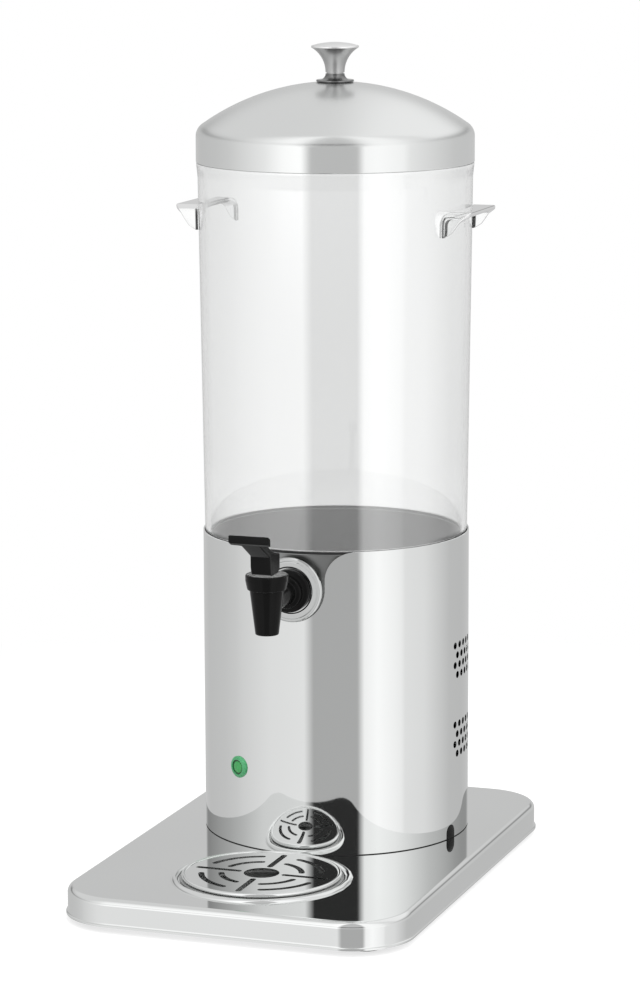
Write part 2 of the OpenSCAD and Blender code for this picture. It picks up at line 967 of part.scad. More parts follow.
// Round gland that the supply lead passes through
module cord_inlet() {
    boss_r = inlet_flange_r - 1;
    color("black")
        difference() {
            on_wall(90, plate_top + inlet_z)
                difference() {
                    union() {
                        translate([0, 0, -inlet_flange_t])
                            cylinder(h = 2 * inlet_flange_t, r = inlet_flange_r);
                        translate([0, 0, inlet_flange_t])
                            cylinder(h = inlet_boss_h, r1 = boss_r, r2 = boss_r - 1.5);
                        translate([0, 0, -inlet_depth])
                            cylinder(h = inlet_depth, r = inlet_barrel_r);
                    }
                    translate([0, 0, -inlet_depth - over])
                        cylinder(h = inlet_depth + inlet_flange_t + inlet_boss_h + 2 * over, r = inlet_r);
                }
            difference() {
                at_housing(plate_top + inlet_z - inlet_depth)
                    cylinder(h = 2 * inlet_depth, r = housing_r + fit);
                on_wall(90, plate_top + inlet_z)
                    translate([0, 0, -inlet_depth - over])
                        cylinder(h = inlet_depth + inlet_flange_t, r = inlet_barrel_r);
            }
        }
}

module inlet_nut() {
    color("black")
        intersection() {
            on_wall(90, plate_top + inlet_z)
                translate([0, 0, -inlet_nut_depth])
                    difference() {
                        cylinder(h = inlet_nut_depth, r = inlet_nut_r, $fn = 6);
                        translate([0, 0, -over])
                            cylinder(h = inlet_nut_depth + 2 * over, r = inlet_barrel_r + fit);
                    }
            at_housing(plate_top + inlet_z - inlet_depth)
                cylinder(h = 2 * inlet_depth, r = housing_in_r - fit);
        }
}

// Drip tray

module drip_tray() {
    color("silver")
        translate([0, tray_y, plate_top])
            difference() {
                union() {
                    translate([0, 0, -tray_depth])
                        rotate_extrude()
                            cup_half(tray_r, tray_depth + tray_t, tray_corner_r);
                    translate([0, 0, rest_gap])
                        cylinder(h = tray_t, r = tray_rim_r);
                }
                translate([0, 0, -tray_depth + tray_t])
                    rotate_extrude()
                        cup_half(tray_r - tray_t, tray_depth + over, tray_corner_r - tray_t);
            }
}

// Slots of the grid: a straight one on each axis, an inner and an outer arc in each quarter
module grid_slots() {
    arc_span = 52;
    inner_r = grid_r * 0.5;
    outer_r = grid_r * 0.75;
    slot_h = grid_t + 2 * over;
    end_d = grid_slot_w + 0.2;
    land = 4;
    for (i = [0 : 3]) {
        rotate([0, 0, 90 * i]) {
            translate([grid_hole_r + land, -grid_slot_w / 2, -over])
                cube([outer_r - grid_hole_r, grid_slot_w, slot_h]);
            for (x = [grid_hole_r + land, outer_r + land])
                translate([x, 0, -over])
                    cylinder(h = slot_h, d = end_d);
        }
        for (r = [inner_r, outer_r])
            rotate([0, 0, 90 * i + 45 - arc_span / 2]) {
                rotate_extrude(angle = arc_span)
                    translate([r - grid_slot_w / 2, -over])
                        square([grid_slot_w, slot_h]);
                for (a = [0, arc_span])
                    rotate([0, 0, a])
                        translate([r, 0, -over])
                            cylinder(h = slot_h, d = end_d);
            }
    }
}

module drip_grid() {
    rim_at = grid_r - grid_rim_r;
    color("silver")
        translate([0, tray_y, plate_top + tray_t + 2 * rest_gap]) {
            translate([0, 0, grid_rim_r - grid_t / 2])
                difference() {
                    cylinder(h = grid_t, r = rim_at);
                    translate([0, 0, -over])
                        cylinder(h = grid_t + 2 * over, r = grid_hole_r);
                    grid_slots();
                }
            translate([0, 0, grid_rim_r])
                rotate_extrude()
                    translate([rim_at, 0])
                        circle(grid_rim_r);
        }
}

// Tank

module tank_cup() {
    h = cup_rim_z + cup_t - (cup_floor_z - cup_t);
    color("silver")
        difference() {
            at_housing(cup_floor_z - cup_t)
                difference() {
                    union() {
                        rotate_extrude()
                            cup_half(cup_out_r, h, cup_corner_r + cup_t);
                        translate([0, 0, h - cup_t])
                            cylinder(h = cup_t, r = tube_bot_r);
                    }
                    translate([0, 0, cup_t])
                        rotate_extrude()
                            cup_half(cup_in_r, h + over, cup_corner_r);
                }
            along_shank(nut_y)
                cylinder(h = nut_y - seat_ring_face_y, r = shank_r + fit);
        }
}

module cup_seal() {
    color("black")
        at_housing(seal_z)
            difference() {
                cylinder(h = seal_t, r = tube_bot_r);
                translate([0, 0, -over])
                    cylinder(h = seal_t + 2 * over, r = cup_in_r + 0.4);
            }
}

// Outside of the tube from rim to band, also used to fit the handles
module tube_cone(gap) {
    cylinder(h = tube_h - band_h, r1 = tube_bot_r + gap, r2 = tube_top_r + gap);
}

module tank_tube() {
    color("azure", 0.35)
        at_housing(rim_z)
            difference() {
                union() {
                    tube_cone(0);
                    translate([0, 0, tube_h - band_h])
                        cylinder(h = band_bevel, r1 = tube_top_r, r2 = band_r);
                    translate([0, 0, tube_h - band_h + band_bevel])
                        cylinder(h = band_h - band_bevel, r = band_r);
                    translate([0, 0, tube_h])
                        cylinder(h = neck_h, r = neck_r);
                }
                translate([0, 0, -over])
                    cylinder(h = tube_h + neck_h + 2 * over, r1 = tube_bot_r - tube_t,
                             r2 = neck_r - tube_t);
            }
}

// Inverted-U ledge that the fingers go under, its legs cut back towards their feet
module handle(side) {
    // Leg from its foot up: share of the handle's reach, share of its height
    leg_shape = [[0.1, 0], [0.43, 0.14], [0.53, 0.36], [0.74, 0.61], [1, 0.8], [1, 1]];
    root_x = tube_bot_r - 2;
    tip_x = tube_top_r + handle_out;
    color("azure", 0.45)
        at_housing(rim_z)
            difference() {
                mirror([side < 0 ? 1 : 0, 0, 0])
                    intersection() {
                        translate([root_x, 0, handle_top_z - handle_h])
                            rotate([90, 0, 90])
                                linear_extrude(tip_x - root_x)
                                    difference() {
                                        ledge(handle_l, handle_h, handle_corner_r);
                                        translate([0, -handle_t])
                                            ledge(handle_l - 2 * handle_t, handle_h,
                                                  handle_corner_r - handle_t);
                                    }
                        translate([0, handle_l, handle_top_z - handle_h])
                            rotate([90, 0, 0])
                                linear_extrude(2 * handle_l)
                                    polygon(concat(
                                        [[root_x, 0]],
                                        [for (p = leg_shape)
                                            [tube_top_r + handle_out * p[0], handle_h * p[1]]],
                                        [[root_x, handle_h]]
                                    ));
                    }
                tube_cone(fit);
            }
}

module handle_left() {
    handle(-1);
}

module handle_right() {
    handle(1);
}

// Tap

// Polished ring with a flat, stepped face and a back that fits the cup's wall
module tap_seat_ring() {
    depth = housing_y - seat_ring_face_y;
    color("gainsboro")
        difference() {
            along_shank(housing_y) {
                cylinder(h = depth - 2 * seat_ring_step, r = seat_ring_r);
                translate([0, 0, depth - 2 * seat_ring_step])
                    cylinder(h = seat_ring_step, r1 = seat_ring_r, r2 = seat_ring_r - seat_ring_step);
                cylinder(h = depth, r = seat_ring_r - 3 * seat_ring_step);
            }
            at_housing(tap_z - 2 * seat_ring_r)
                cylinder(h = 4 * seat_ring_r, r = cup_out_r + fit);
            along_shank(housing_y)
                cylinder(h = depth + over, r = shank_r + fit);
        }
}

module tap_collar() {
    r = collar_d / 2;
    color("black")
        along_shank(seat_ring_face_y - fit)
            difference() {
                union() {
                    cylinder(h = collar_t - collar_bevel - fit, r = r);
                    translate([0, 0, collar_t - collar_bevel - fit])
                        cylinder(h = collar_bevel, r1 = r, r2 = r - collar_bevel);
                }
                translate([0, 0, -over])
                    cylinder(h = collar_t + 2 * over, r = shank_r + fit);
            }
}

// Spout, neck and shank in one, with the valve's chamber and seat
module tap_body() {
    spout_h = nozzle_top_z + nozzle_drop;
    color("black")
        difference() {
            union() {
                at_tap() {
                    translate([0, 0, -nozzle_drop])
                        cylinder(h = spout_h, r1 = nozzle_mouth_r, r2 = nozzle_top_r);
                    cylinder(h = neck_top_z, r = body_neck_r);
                }
                along_shank(shank_end_y)
                    cylinder(h = shank_end_y - tap_y, r = shank_r);
                along_shank(hub_y)
                    cylinder(h = hub_t, r = hub_r);
            }
            at_tap() {
                translate([0, 0, chamber_z])
                    cylinder(h = neck_top_z - chamber_z + over, r = chamber_r);
                translate([0, 0, -nozzle_drop - over])
                    cylinder(h = nozzle_drop + chamber_z - valve_seat_t + over, r = nozzle_bore_r);
                translate([0, 0, chamber_z - valve_seat_t - over])
                    cylinder(h = valve_seat_t + 2 * over, r = valve_seat_r);
            }
            along_shank(shank_end_y + over)
                cylinder(h = shank_end_y + over - tap_y, d = shank_bore);
        }
}

module tap_gasket() {
    color("white")
        intersection() {
            along_shank(nut_y)
                difference() {
                    cylinder(h = 2 * gasket_room, r = gasket_r);
                    translate([0, 0, -over])
                        cylinder(h = 2 * gasket_room + 2 * over, r = shank_r + fit);
                }
            at_housing(tap_z - 2 * gasket_r)
                cylinder(h = 4 * gasket_r, r = cup_in_r - fit);
        }
}

module tap_nut() {
    color("black")
        along_shank(nut_y + nut_t)
            difference() {
                cylinder(h = nut_t - fit, r = nut_r, $fn = 6);
                translate([0, 0, -over])
                    cylinder(h = nut_t + 2 * over, r = shank_r + fit);
            }
}

// Cap screwed over the body's neck, with the stem's guide hole
module tap_bonnet() {
    skirt_r = bonnet_r - 1.2;
    skirt_h = bonnet_top_z - bonnet_z;
    color("black")
        at_tap()
            difference() {
                union() {
                    translate([0, 0, bonnet_z])
                        cylinder(h = skirt_h / 4, r1 = skirt_r - 0.5, r2 = skirt_r);
                    translate([0, 0, bonnet_z + skirt_h / 4])
                        cylinder(h = skirt_h / 2, r1 = skirt_r, r2 = bonnet_r);
                    translate([0, 0, bonnet_z + skirt_h * 3 / 4])
                        cylinder(h = skirt_h / 4 - bonnet_bevel, r = bonnet_r);
                    translate([0, 0, bonnet_top_z - bonnet_bevel])
                        cylinder(h = bonnet_bevel, r1 = bonnet_r, r2 = bonnet_r - bonnet_bevel);
                }
                translate([0, 0, bonnet_z - over])
                    cylinder(h = bonnet_top_z - bonnet_t - bonnet_z + over, r = body_neck_r + fit);
                translate([0, 0, neck_top_z])
                    cylinder(h = bonnet_t + 2 * over, r = stem_d / 2 + play);
            }
}

// Stem with the spring's flange, and a flat tongue for the lever's pin
module valve_stem() {
    color("black")
        at_tap()
            difference() {
                union() {
                    translate([0, 0, stem_foot_z])
                        cylinder(h = pin_z - tongue_r / 2 - stem_foot_z, d = stem_d);
                    translate([0, 0, stem_flange_z])
                        cylinder(h = stem_flange_t, r = chamber_r - 2 * slide_gap);
                    translate([-tongue_w / 2, 0, pin_z])
                        rotate([0, 90, 0])
                            cylinder(h = tongue_w, r = tongue_r);
                }
                translate([-tongue_w, 0, pin_z])
                    rotate([0, 90, 0])
                        cylinder(h = 2 * tongue_w, r = pin_d / 2 + play);
            }
}

// Soft cup that closes the outlet
module valve_seat_cup() {
    foot = chamber_z + rest_gap;
    cone_z = foot + seat_cup_rim_h;
    color("lightgray")
        at_tap()
            difference() {
                union() {
                    translate([0, 0, foot])
                        cylinder(h = seat_cup_rim_h, r = seat_cup_r);
                    translate([0, 0, cone_z])
                        cylinder(h = stem_flange_z - fit - cone_z, r1 = seat_cup_r, r2 = stem_d / 2 + 1.4);
                }
                translate([0, 0, stem_foot_z - fit])
                    cylinder(h = stem_flange_z - stem_foot_z + over, r = stem_d / 2 + fit);
            }
}

// Coil spring's envelope between the stem's flange and the bonnet
module tap_spring() {
    foot = stem_flange_z + stem_flange_t + fit;
    color("silver")
        at_tap()
            translate([0, 0, foot])
                difference() {
                    cylinder(h = bonnet_top_z - bonnet_t - fit - foot, r = spring_r);
                    translate([0, 0, -over])
                        cylinder(h = bonnet_top_z, r = spring_in_r);
                }
}

// Sole of the lever: the curve that keeps its lowest point level with the bonnet while the
// stem rises in step with the tilt a, so it runs ahead of the pin by the lift per radian
function sole_point(a) = let (h = heel_r + lift_rate * a * PI / 180)
    [-h * sin(a) - lift_rate * cos(a), -h * cos(a) + lift_rate * sin(a)];

// Side view of the lever about its pin, front to the left
module lever_side() {
    steps = 8;
    slope = tan(paddle_rise);
    crest = [-5, 7.8];
    rear_y = heel_r - 0.4;
    rear_z = 5;
    bevel = 3;
    toe = sole_point(lever_travel) + [-1.2, 4];
    tip_z = crest[1] + (paddle_reach + crest[0]) * slope;
    toe_top = tip_z - paddle_t * 1.2 - (paddle_reach + toe[0]) * slope;
    polygon(concat(
        [crest, [rear_y, rear_z], [rear_y, bevel - heel_r], [rear_y - bevel, -heel_r]],
        [for (i = [0 : steps]) sole_point(lever_travel * i / steps)],
        [toe, [toe[0], toe_top], [-paddle_reach, tip_z - paddle_t], [-paddle_reach, tip_z]]
    ));
}

// Lever seen from above: wide at the paddle, narrowing to the fork
module lever_plan() {
    fork = fork_w / 2;
    fork_y = -15;
    wide = paddle_w / 2;
    paddle_depth = 7;
    wide_y = paddle_depth - paddle_reach;
    tip_y = -paddle_reach - over;
    rear_y = 2 * heel_r;
    polygon([
        [fork, rear_y], [fork, fork_y], [wide, wide_y], [wide, tip_y],
        [-wide, tip_y], [-wide, wide_y], [-fork, fork_y], [-fork, rear_y]
    ]);
}

// Lever with a slot over the stem's tongue, open to the rear and below
module tap_lever() {
    slot_w = tongue_w + 2 * slide_gap;
    slot_front = tongue_r + 3;
    color("black")
        at_tap()
            translate([0, 0, pin_z])
                difference() {
                    intersection() {
                        translate([-paddle_w, 0, 0])
                            rotate([90, 0, 90])
                                linear_extrude(2 * paddle_w)
                                    lever_side();
                        translate([0, 0, -2 * heel_r])
                            linear_extrude(paddle_reach + 4 * heel_r)
                                lever_plan();
                    }
                    translate([-slot_w / 2, -slot_front, -2 * heel_r])
                        cube([slot_w, slot_front + 2 * heel_r, 2 * heel_r + tongue_r + slide_gap]);
                    translate([-fork_w, 0, 0])
                        rotate([0, 90, 0])
                            cylinder(h = 2 * fork_w, r = pin_d / 2 + fit);
                }
}

module lever_pin() {
    color("silver")
        at_tap()
            translate([pin_recess - fork_w / 2, 0, pin_z])
                rotate([0, 90, 0])
                    cylinder(h = fork_w - 2 * pin_recess, d = pin_d);
}

// Lid

// Half section of the lid's solid, drawn in by t: skirt, round shoulder and dome
module lid_half(t) {
    tangent_r = shoulder_c[0] * dome_r / (dome_r - lid_shoulder_r);
    square([lid_r - t, lid_skirt_h]);
    translate(shoulder_c)
        circle(lid_shoulder_r - t);
    intersection() {
        translate([0, dome_cz])
            circle(dome_r - t, $fn = 360);
        square([tangent_r - t * shoulder_c[0] / (dome_r - lid_shoulder_r), 2 * dome_r]);
    }
}

module lid_dome() {
    color("gainsboro")
        at_housing(lid_base_z)
            difference() {
                rotate_extrude()
                    intersection() {
                        difference() {
                            lid_half(0);
                            lid_half(lid_t);
                        }
                        square([2 * lid_r, 2 * dome_r]);
                    }
                translate([0, 0, apex_z - 2 * lid_t - over])
                    cylinder(h = 4 * lid_t + 2 * over, r = knob_screw_r + fit);
            }
}

module knob_foot() {
    neck_r = knob_neck_d / 2;
    foot_r = knob_foot_d / 2;
    edge = 1.2;
    flare_r = min(foot_r - neck_r - 1, knob_foot_h - edge);
    color("silver")
        at_housing(lid_base_z + apex_z)
            difference() {
                rotate_extrude()
                    difference() {
                        translate([0, -1])
                            square([foot_r, knob_foot_h + 1]);
                        translate([neck_r + flare_r, edge + flare_r])
                            circle(flare_r);
                        translate([neck_r, edge + flare_r])
                            square([foot_r, knob_foot_h]);
                        translate([neck_r + flare_r, edge])
                            square([foot_r, knob_foot_h]);
                    }
                translate([0, 0, -dome_r])
                    sphere(dome_r + fit, $fn = 180);
                translate([0, 0, -over])
                    cylinder(h = knob_foot_h + 2 * over, r = knob_screw_r + fit);
            }
}

// Trumpet-shaped grip with a crowned top
module knob_top() {
    neck_r = knob_neck_d / 2;
    top_r = knob_d / 2;
    groove = 0.7;
    edge = 1.6;
    crown = 2.2;
    flare_r = top_r - neck_r + 2;
    flare_z = knob_top_h - edge - crown - sqrt(flare_r * flare_r - 4);
    crown_r = (top_r * top_r + crown * crown) / (2 * crown);
    color("silver")
        at_housing(lid_base_z + apex_z + knob_foot_h + fit)
            difference() {
                rotate_extrude()
                    intersection() {
                        difference() {
                            square([top_r, knob_top_h]);
                            translate([neck_r + flare_r, flare_z])
                                circle(flare_r);
                            translate([neck_r, -over])
                                square([top_r, flare_z + over]);
                            translate([neck_r - groove, -over])
                                square([top_r, groove + over]);
                        }
                        translate([0, knob_top_h - crown_r])
                            circle(crown_r);
                    }
                translate([0, 0, -over])
                    cylinder(h = knob_top_h - crown - edge + over, r = knob_screw_r + fit);
            }
}

module knob_screw() {
    head_r = 4;
    head_h = 2.4;
    color("silver")
        at_housing(lid_base_z + apex_z - lid_t - fit) {
            translate([0, 0, -head_h])
                cylinder(h = head_h, r = head_r);
            translate([0, 0, -head_h / 2])
                cylinder(h = head_h / 2 + lid_t + knob_foot_h + knob_top_h / 2, r = knob_screw_r);
        }
}

base_plate();
bottom_cover();
rubber_feet();
foot_screws();
base_gasket();
housing_shell();
housing_screws();
base_clips();
insulation_sleeve();
support_deck();
cold_plate();
cooling_module();
heat_sink();
fan_frame();
fan_rotor();
tie_rods();
power_supply();
lamp_bezel();
lamp_lens();
switch_frame();
switch_rocker();
cord_inlet();
inlet_nut();
drip_tray();
drip_grid();
tank_cup();
cup_seal();
tank_tube();
handle_left();
handle_right();
tap_seat_ring();
tap_collar();
tap_body();
tap_gasket();
tap_nut();
tap_bonnet();
valve_stem();
valve_seat_cup();
tap_spring();
tap_lever();
lever_pin();
lid_dome();
knob_foot();
knob_top();
knob_screw();
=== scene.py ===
"""Looks of a refrigerated drink dispenser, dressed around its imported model.

Everything is in metres, +Z up, with the front towards -Y. The frame gives each piece's place.
"""

import json
import math

import bpy
import numpy as np
from bpy.props import FloatProperty, FloatVectorProperty, IntProperty, PointerProperty
from mathutils import Matrix, Vector
from mathutils.geometry import delaunay_2d_cdt


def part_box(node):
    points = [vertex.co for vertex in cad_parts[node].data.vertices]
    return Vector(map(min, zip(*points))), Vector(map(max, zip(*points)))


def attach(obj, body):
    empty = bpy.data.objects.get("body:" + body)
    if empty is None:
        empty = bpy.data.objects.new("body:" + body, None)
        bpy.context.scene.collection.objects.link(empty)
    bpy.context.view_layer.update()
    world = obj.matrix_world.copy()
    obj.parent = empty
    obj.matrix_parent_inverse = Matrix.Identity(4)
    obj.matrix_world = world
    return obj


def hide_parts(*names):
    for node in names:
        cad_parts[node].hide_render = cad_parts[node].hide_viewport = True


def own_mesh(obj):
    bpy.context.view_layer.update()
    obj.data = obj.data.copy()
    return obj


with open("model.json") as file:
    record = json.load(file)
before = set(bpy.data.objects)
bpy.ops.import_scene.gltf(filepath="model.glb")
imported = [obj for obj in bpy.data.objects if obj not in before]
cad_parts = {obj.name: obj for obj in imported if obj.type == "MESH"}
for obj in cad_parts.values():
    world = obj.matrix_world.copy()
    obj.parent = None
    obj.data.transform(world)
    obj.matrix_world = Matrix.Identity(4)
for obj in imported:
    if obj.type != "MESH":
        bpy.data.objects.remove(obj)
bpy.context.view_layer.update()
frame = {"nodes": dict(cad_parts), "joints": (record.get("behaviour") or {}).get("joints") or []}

bl_info = {
    "name": "Drink dispenser",
    "version": (1, 0, 0),
    "blender": (4, 5, 0),
    "location": "View3D > Sidebar > Dispenser",
    "description": "Dresses a refrigerated drink dispenser around its packed model",
    "category": "Add Mesh",
}

MM = 0.001
UP = np.array([0.0, 0.0, 1.0])
FRONT = np.array([0.0, -1.0, 0.0])
SHARP_ANGLE = math.radians(35)
TINY = 1e-9


# Places read from the frame

def corners(node):
    """Lowest and highest corner of a node at rest."""
    return [np.array(corner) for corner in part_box(node)]


def middle(node):
    """Middle of a node's box at rest."""
    low, high = corners(node)
    return (low + high) / 2


def half_width(node):
    """Half a node's size from left to right at rest."""
    low, high = corners(node)
    return (high[0] - low[0]) / 2


def half_height(node):
    """Half a node's height at rest."""
    low, high = corners(node)
    return (high[2] - low[2]) / 2


def on_floor(place):
    """The place on the floor under another."""
    return place * (1, 1, 0)


PLATE_LOW, PLATE_HIGH = corners("base_plate")
HOUSING_LOW, HOUSING_HIGH = corners("housing_shell")
TUBE_LOW, TUBE_HIGH = corners("tank_tube")
CUP_LOW, CUP_HIGH = corners("tank_cup")
LID_LOW, LID_HIGH = corners("lid_dome")
TRAY_LOW, TRAY_HIGH = corners("drip_tray")
AXIS = np.array([0.0, middle("housing_shell")[1], 0.0])
PIN = middle("lever_pin")
TAP = np.array([0.0, PIN[1], middle("tap_collar")[2]])
SHANK = TAP * (1, 0, 1)
SHANK_BORE = 7.45 * MM  # radius inside what sits on the shank
HOUSING_RADIUS = half_width("housing_shell")
TRAY_RADIUS = half_width("drip_tray")
TRAY_PROUD = 0.95 * MM  # the tray's rim over the plate
PLATE_TOP = TRAY_HIGH[2] - TRAY_PROUD
TUBE_LOW_RADIUS = half_width("tank_cup")
BAND_RADIUS = half_width("tank_tube")
BAND_SWELL = 0.8 * MM  # the band under the lid over the tube
TUBE_TOP_RADIUS = BAND_RADIUS - BAND_SWELL
STEM_LIFT = 3 * MM  # at the lever's full tilt


# Values that a user would change

def length(name, description, millimetres):
    """A length property, with its default given in millimetres."""
    return FloatProperty(name=name, description=description, default=millimetres * MM, min=0.0,
                         unit="LENGTH", subtype="DISTANCE", precision=5)


def turn(name, description, degrees):
    """An angle property, with its default given in degrees."""
    return FloatProperty(name=name, description=description, default=math.radians(degrees),
                         unit="ROTATION", subtype="ANGLE")


def tone(name, description, colour):
    """A colour property."""
    return FloatVectorProperty(name=name, description=description, default=colour, size=3,
                               min=0.0, max=1.0, subtype="COLOR")


class DispenserBase(bpy.types.PropertyGroup):
    """Sizes of the base plate, the drip tray and the grid."""

    sheet: length("Sheet", "Thickness of the plate's sheet", 1.2)
    corner: length("Corner", "Corner radius of the plate", 38)
    edge: length("Edge", "Radius of the pressed top edge", 4)
    lip: length("Lip", "How far the lip at the skirt's foot stands proud", 1)
    hem: length("Hem", "How far the rolled hem hangs below the skirt", 1.5)
    bead_width: length("Bead", "Width of the raised ring round the tray", 5)
    bead_height: length("Bead height", "Height of the raised ring", 1.8)
    bead_gap: length("Bead gap", "Room between the tray's rim and the raised ring", 0.7)
    grid_hole: length("Grid hole", "Radius of the grid's middle hole", 11)
    grid_slot: length("Grid slot", "Width of the grid's slots", 3.8)
    grid_rim: length("Grid rim", "Radius of the grid's rolled rim", 1.3)
    grid_sheet: length("Grid sheet", "Thickness of the grid's sheet", 1.2)


class DispenserHousing(bpy.types.PropertyGroup):
    """Sizes of the housing and of what is set into it."""

    sheet: length("Sheet", "Thickness of the housing's sheet", 0.8)
    notch: length("Notch", "Half the width of the tap notch", 20.9)
    shoulder: length("Shoulder", "Radius where the notch runs into the rim", 18)
    vent: length("Vent", "Diameter of a vent hole", 4.5)
    vent_pitch: length("Vent pitch", "Distance of vent holes along the wall", 7)
    vent_rows: length("Vent rows", "Distance of the vent rows", 6.4)
    vent_count: IntProperty(name="Vents", description="Vent holes in a row", default=6, min=1)
    vent_upper: length("Upper vents", "Height of the upper field over the plate", 115)
    vent_lower: length("Lower vents", "Height of the lower field over the plate", 63.5)
    vent_start: turn("Vent start", "Turn of the first vent from the side", -8.5)
    arch_width: length("Arch", "Width of the arched notch at the foot", 10)
    arch_height: length("Arch height", "Height of the arched notch over the plate", 9)
    arch_turn: turn("Arch turn", "Turn of the arched notch from the side", 12.3)
    lamp_turn: turn("Lamp turn", "Turn of the pilot lamp to the left of the front", 27.5)


class DispenserTank(bpy.types.PropertyGroup):
    """Sizes of the cup, the tube, the handles, the lid and the knob."""

    wall: length("Wall", "Wall of the clear tube", 3.2)
    band: length("Band", "Height of the thickened band", 9)
    neck: length("Neck", "Height of the neck inside the lid", 12)
    cup_sheet: length("Cup sheet", "Thickness of the cup's sheet", 0.8)
    cup_corner: length("Cup corner", "Radius between the cup's wall and floor", 10)
    handle_wall: length("Handle wall", "Wall of a handle", 2.8)
    handle_corner: length("Handle corner", "Radius of a handle's upper corners", 10)
    lid_sheet: length("Lid sheet", "Thickness of the lid's sheet", 0.9)
    lid_skirt: length("Lid skirt", "Height of the lid's straight skirt", 16)
    lid_shoulder: length("Lid shoulder", "Radius between skirt and dome", 9)
    lid_dome: length("Lid dome", "Radius of the dome", 146)


class DispenserTap(bpy.types.PropertyGroup):
    """Sizes of the tap."""

    mouth: length("Mouth", "Radius of the nozzle's mouth", 7.2)
    nozzle: length("Nozzle", "Radius of the nozzle's top", 10.6)
    nozzle_top: length("Nozzle top", "Height of the nozzle's top over the shank", 8.5)
    nozzle_drop: length("Nozzle drop", "Length of the nozzle below the shank", 19.4)
    bonnet: length("Bonnet", "Radius of the bonnet", 13.2)
    bonnet_top: length("Bonnet top", "Height of the bonnet's top over the shank", 18.2)
    collar: length("Collar", "Radius of the collar behind the hub", 13.5)
    shank: length("Shank", "Radius of the shank", 7.4)
    hub: length("Hub", "Radius of the hub in front of the collar", 10.2)
    paddle: length("Paddle", "Thickness of the lever's paddle", 5)
    fork: length("Fork", "Width of the lever over the stem", 12.6)
    heel: length("Heel", "Height of the pin over the lever's sole", 7)


class DispenserColours(bpy.types.PropertyGroup):
    """Colours of the finishes."""

    steel: tone("Steel", "Mirror-polished sheet", (0.86, 0.87, 0.865))
    knob: tone("Knob", "Chrome of the knob", (0.80, 0.80, 0.80))
    clear: tone("Clear plastic", "Tint of the tank", (0.985, 0.99, 0.988))
    tap: tone("Tap", "Gloss black of the tap", (0.006, 0.006, 0.006))
    satin: tone("Satin black", "Black of clips, switch and fan", (0.025, 0.025, 0.026))
    rubber: tone("Rubber", "Feet, gasket and seal", (0.02, 0.02, 0.02))
    silicone: tone("Silicone", "Soft parts of the tap", (0.78, 0.78, 0.75))
    plain_steel: tone("Plain steel", "Screws, rods and cover", (0.55, 0.55, 0.56))
    aluminium: tone("Aluminium", "Heat sink and cold plate", (0.70, 0.71, 0.73))
    ceramic: tone("Ceramic", "Thermoelectric module", (0.80, 0.80, 0.78))
    foam: tone("Foam", "Insulation", (0.82, 0.81, 0.77))
    lamp: tone("Lamp", "Green of the pilot lamp", (0.03, 0.30, 0.07))
    lamp_rim: tone("Lamp rim", "Green of the pilot lamp's rim", (0.06, 0.36, 0.14))


class DispenserStage(bpy.types.PropertyGroup):
    """Camera, floor and light."""

    camera_place: FloatVectorProperty(name="Camera", description="Place of the camera", size=3, subtype="XYZ",
                                      unit="LENGTH", default=(0.77718, -2.19309, 0.66261))
    camera_aim: FloatVectorProperty(name="Aim", description="Direction of the view", size=3, subtype="DIRECTION",
                                    default=(-0.3259, 0.9284, -0.1787))
    camera_roll: turn("Roll", "Turn of the picture about the view", -0.183)
    focal: FloatProperty(name="Lens", description="Focal length", default=135.1, unit="CAMERA")
    floor_radius: FloatProperty(name="Floor", description="Radius of the floor", default=0.9, unit="LENGTH")
    room: FloatProperty(name="Room light", description="Strength of the surrounding panels", default=1.0,
                        min=0.0, max=1.0)


# Shader tools

class Wire:
    """An output of a node tree. Arithmetic with wires and numbers adds Math nodes."""

    def __init__(self, graph, socket):
        self.graph = graph
        self.socket = socket

    def math(self, operation, first, second):
        return self.graph.node("ShaderNodeMath", {"operation": operation}, {0: first, 1: second})

    def __add__(self, other):
        return self.math("ADD", self, other)

    def __radd__(self, other):
        return self.math("ADD", other, self)

    def __sub__(self, other):
        return self.math("SUBTRACT", self, other)

    def __rsub__(self, other):
        return self.math("SUBTRACT", other, self)

    def __mul__(self, other):
        return self.math("MULTIPLY", self, other)

    def __rmul__(self, other):
        return self.math("MULTIPLY", other, self)

    def __truediv__(self, other):
        return self.math("DIVIDE", self, other)

    def least(self, other):
        return self.math("MINIMUM", self, other)

    def ramp(self, low, high):
        """Smooth step from nothing at low to one at high."""
        return self.graph.node("ShaderNodeMapRange", {"interpolation_type": "SMOOTHSTEP"},
                               {"Value": self, "From Min": low, "From Max": high})


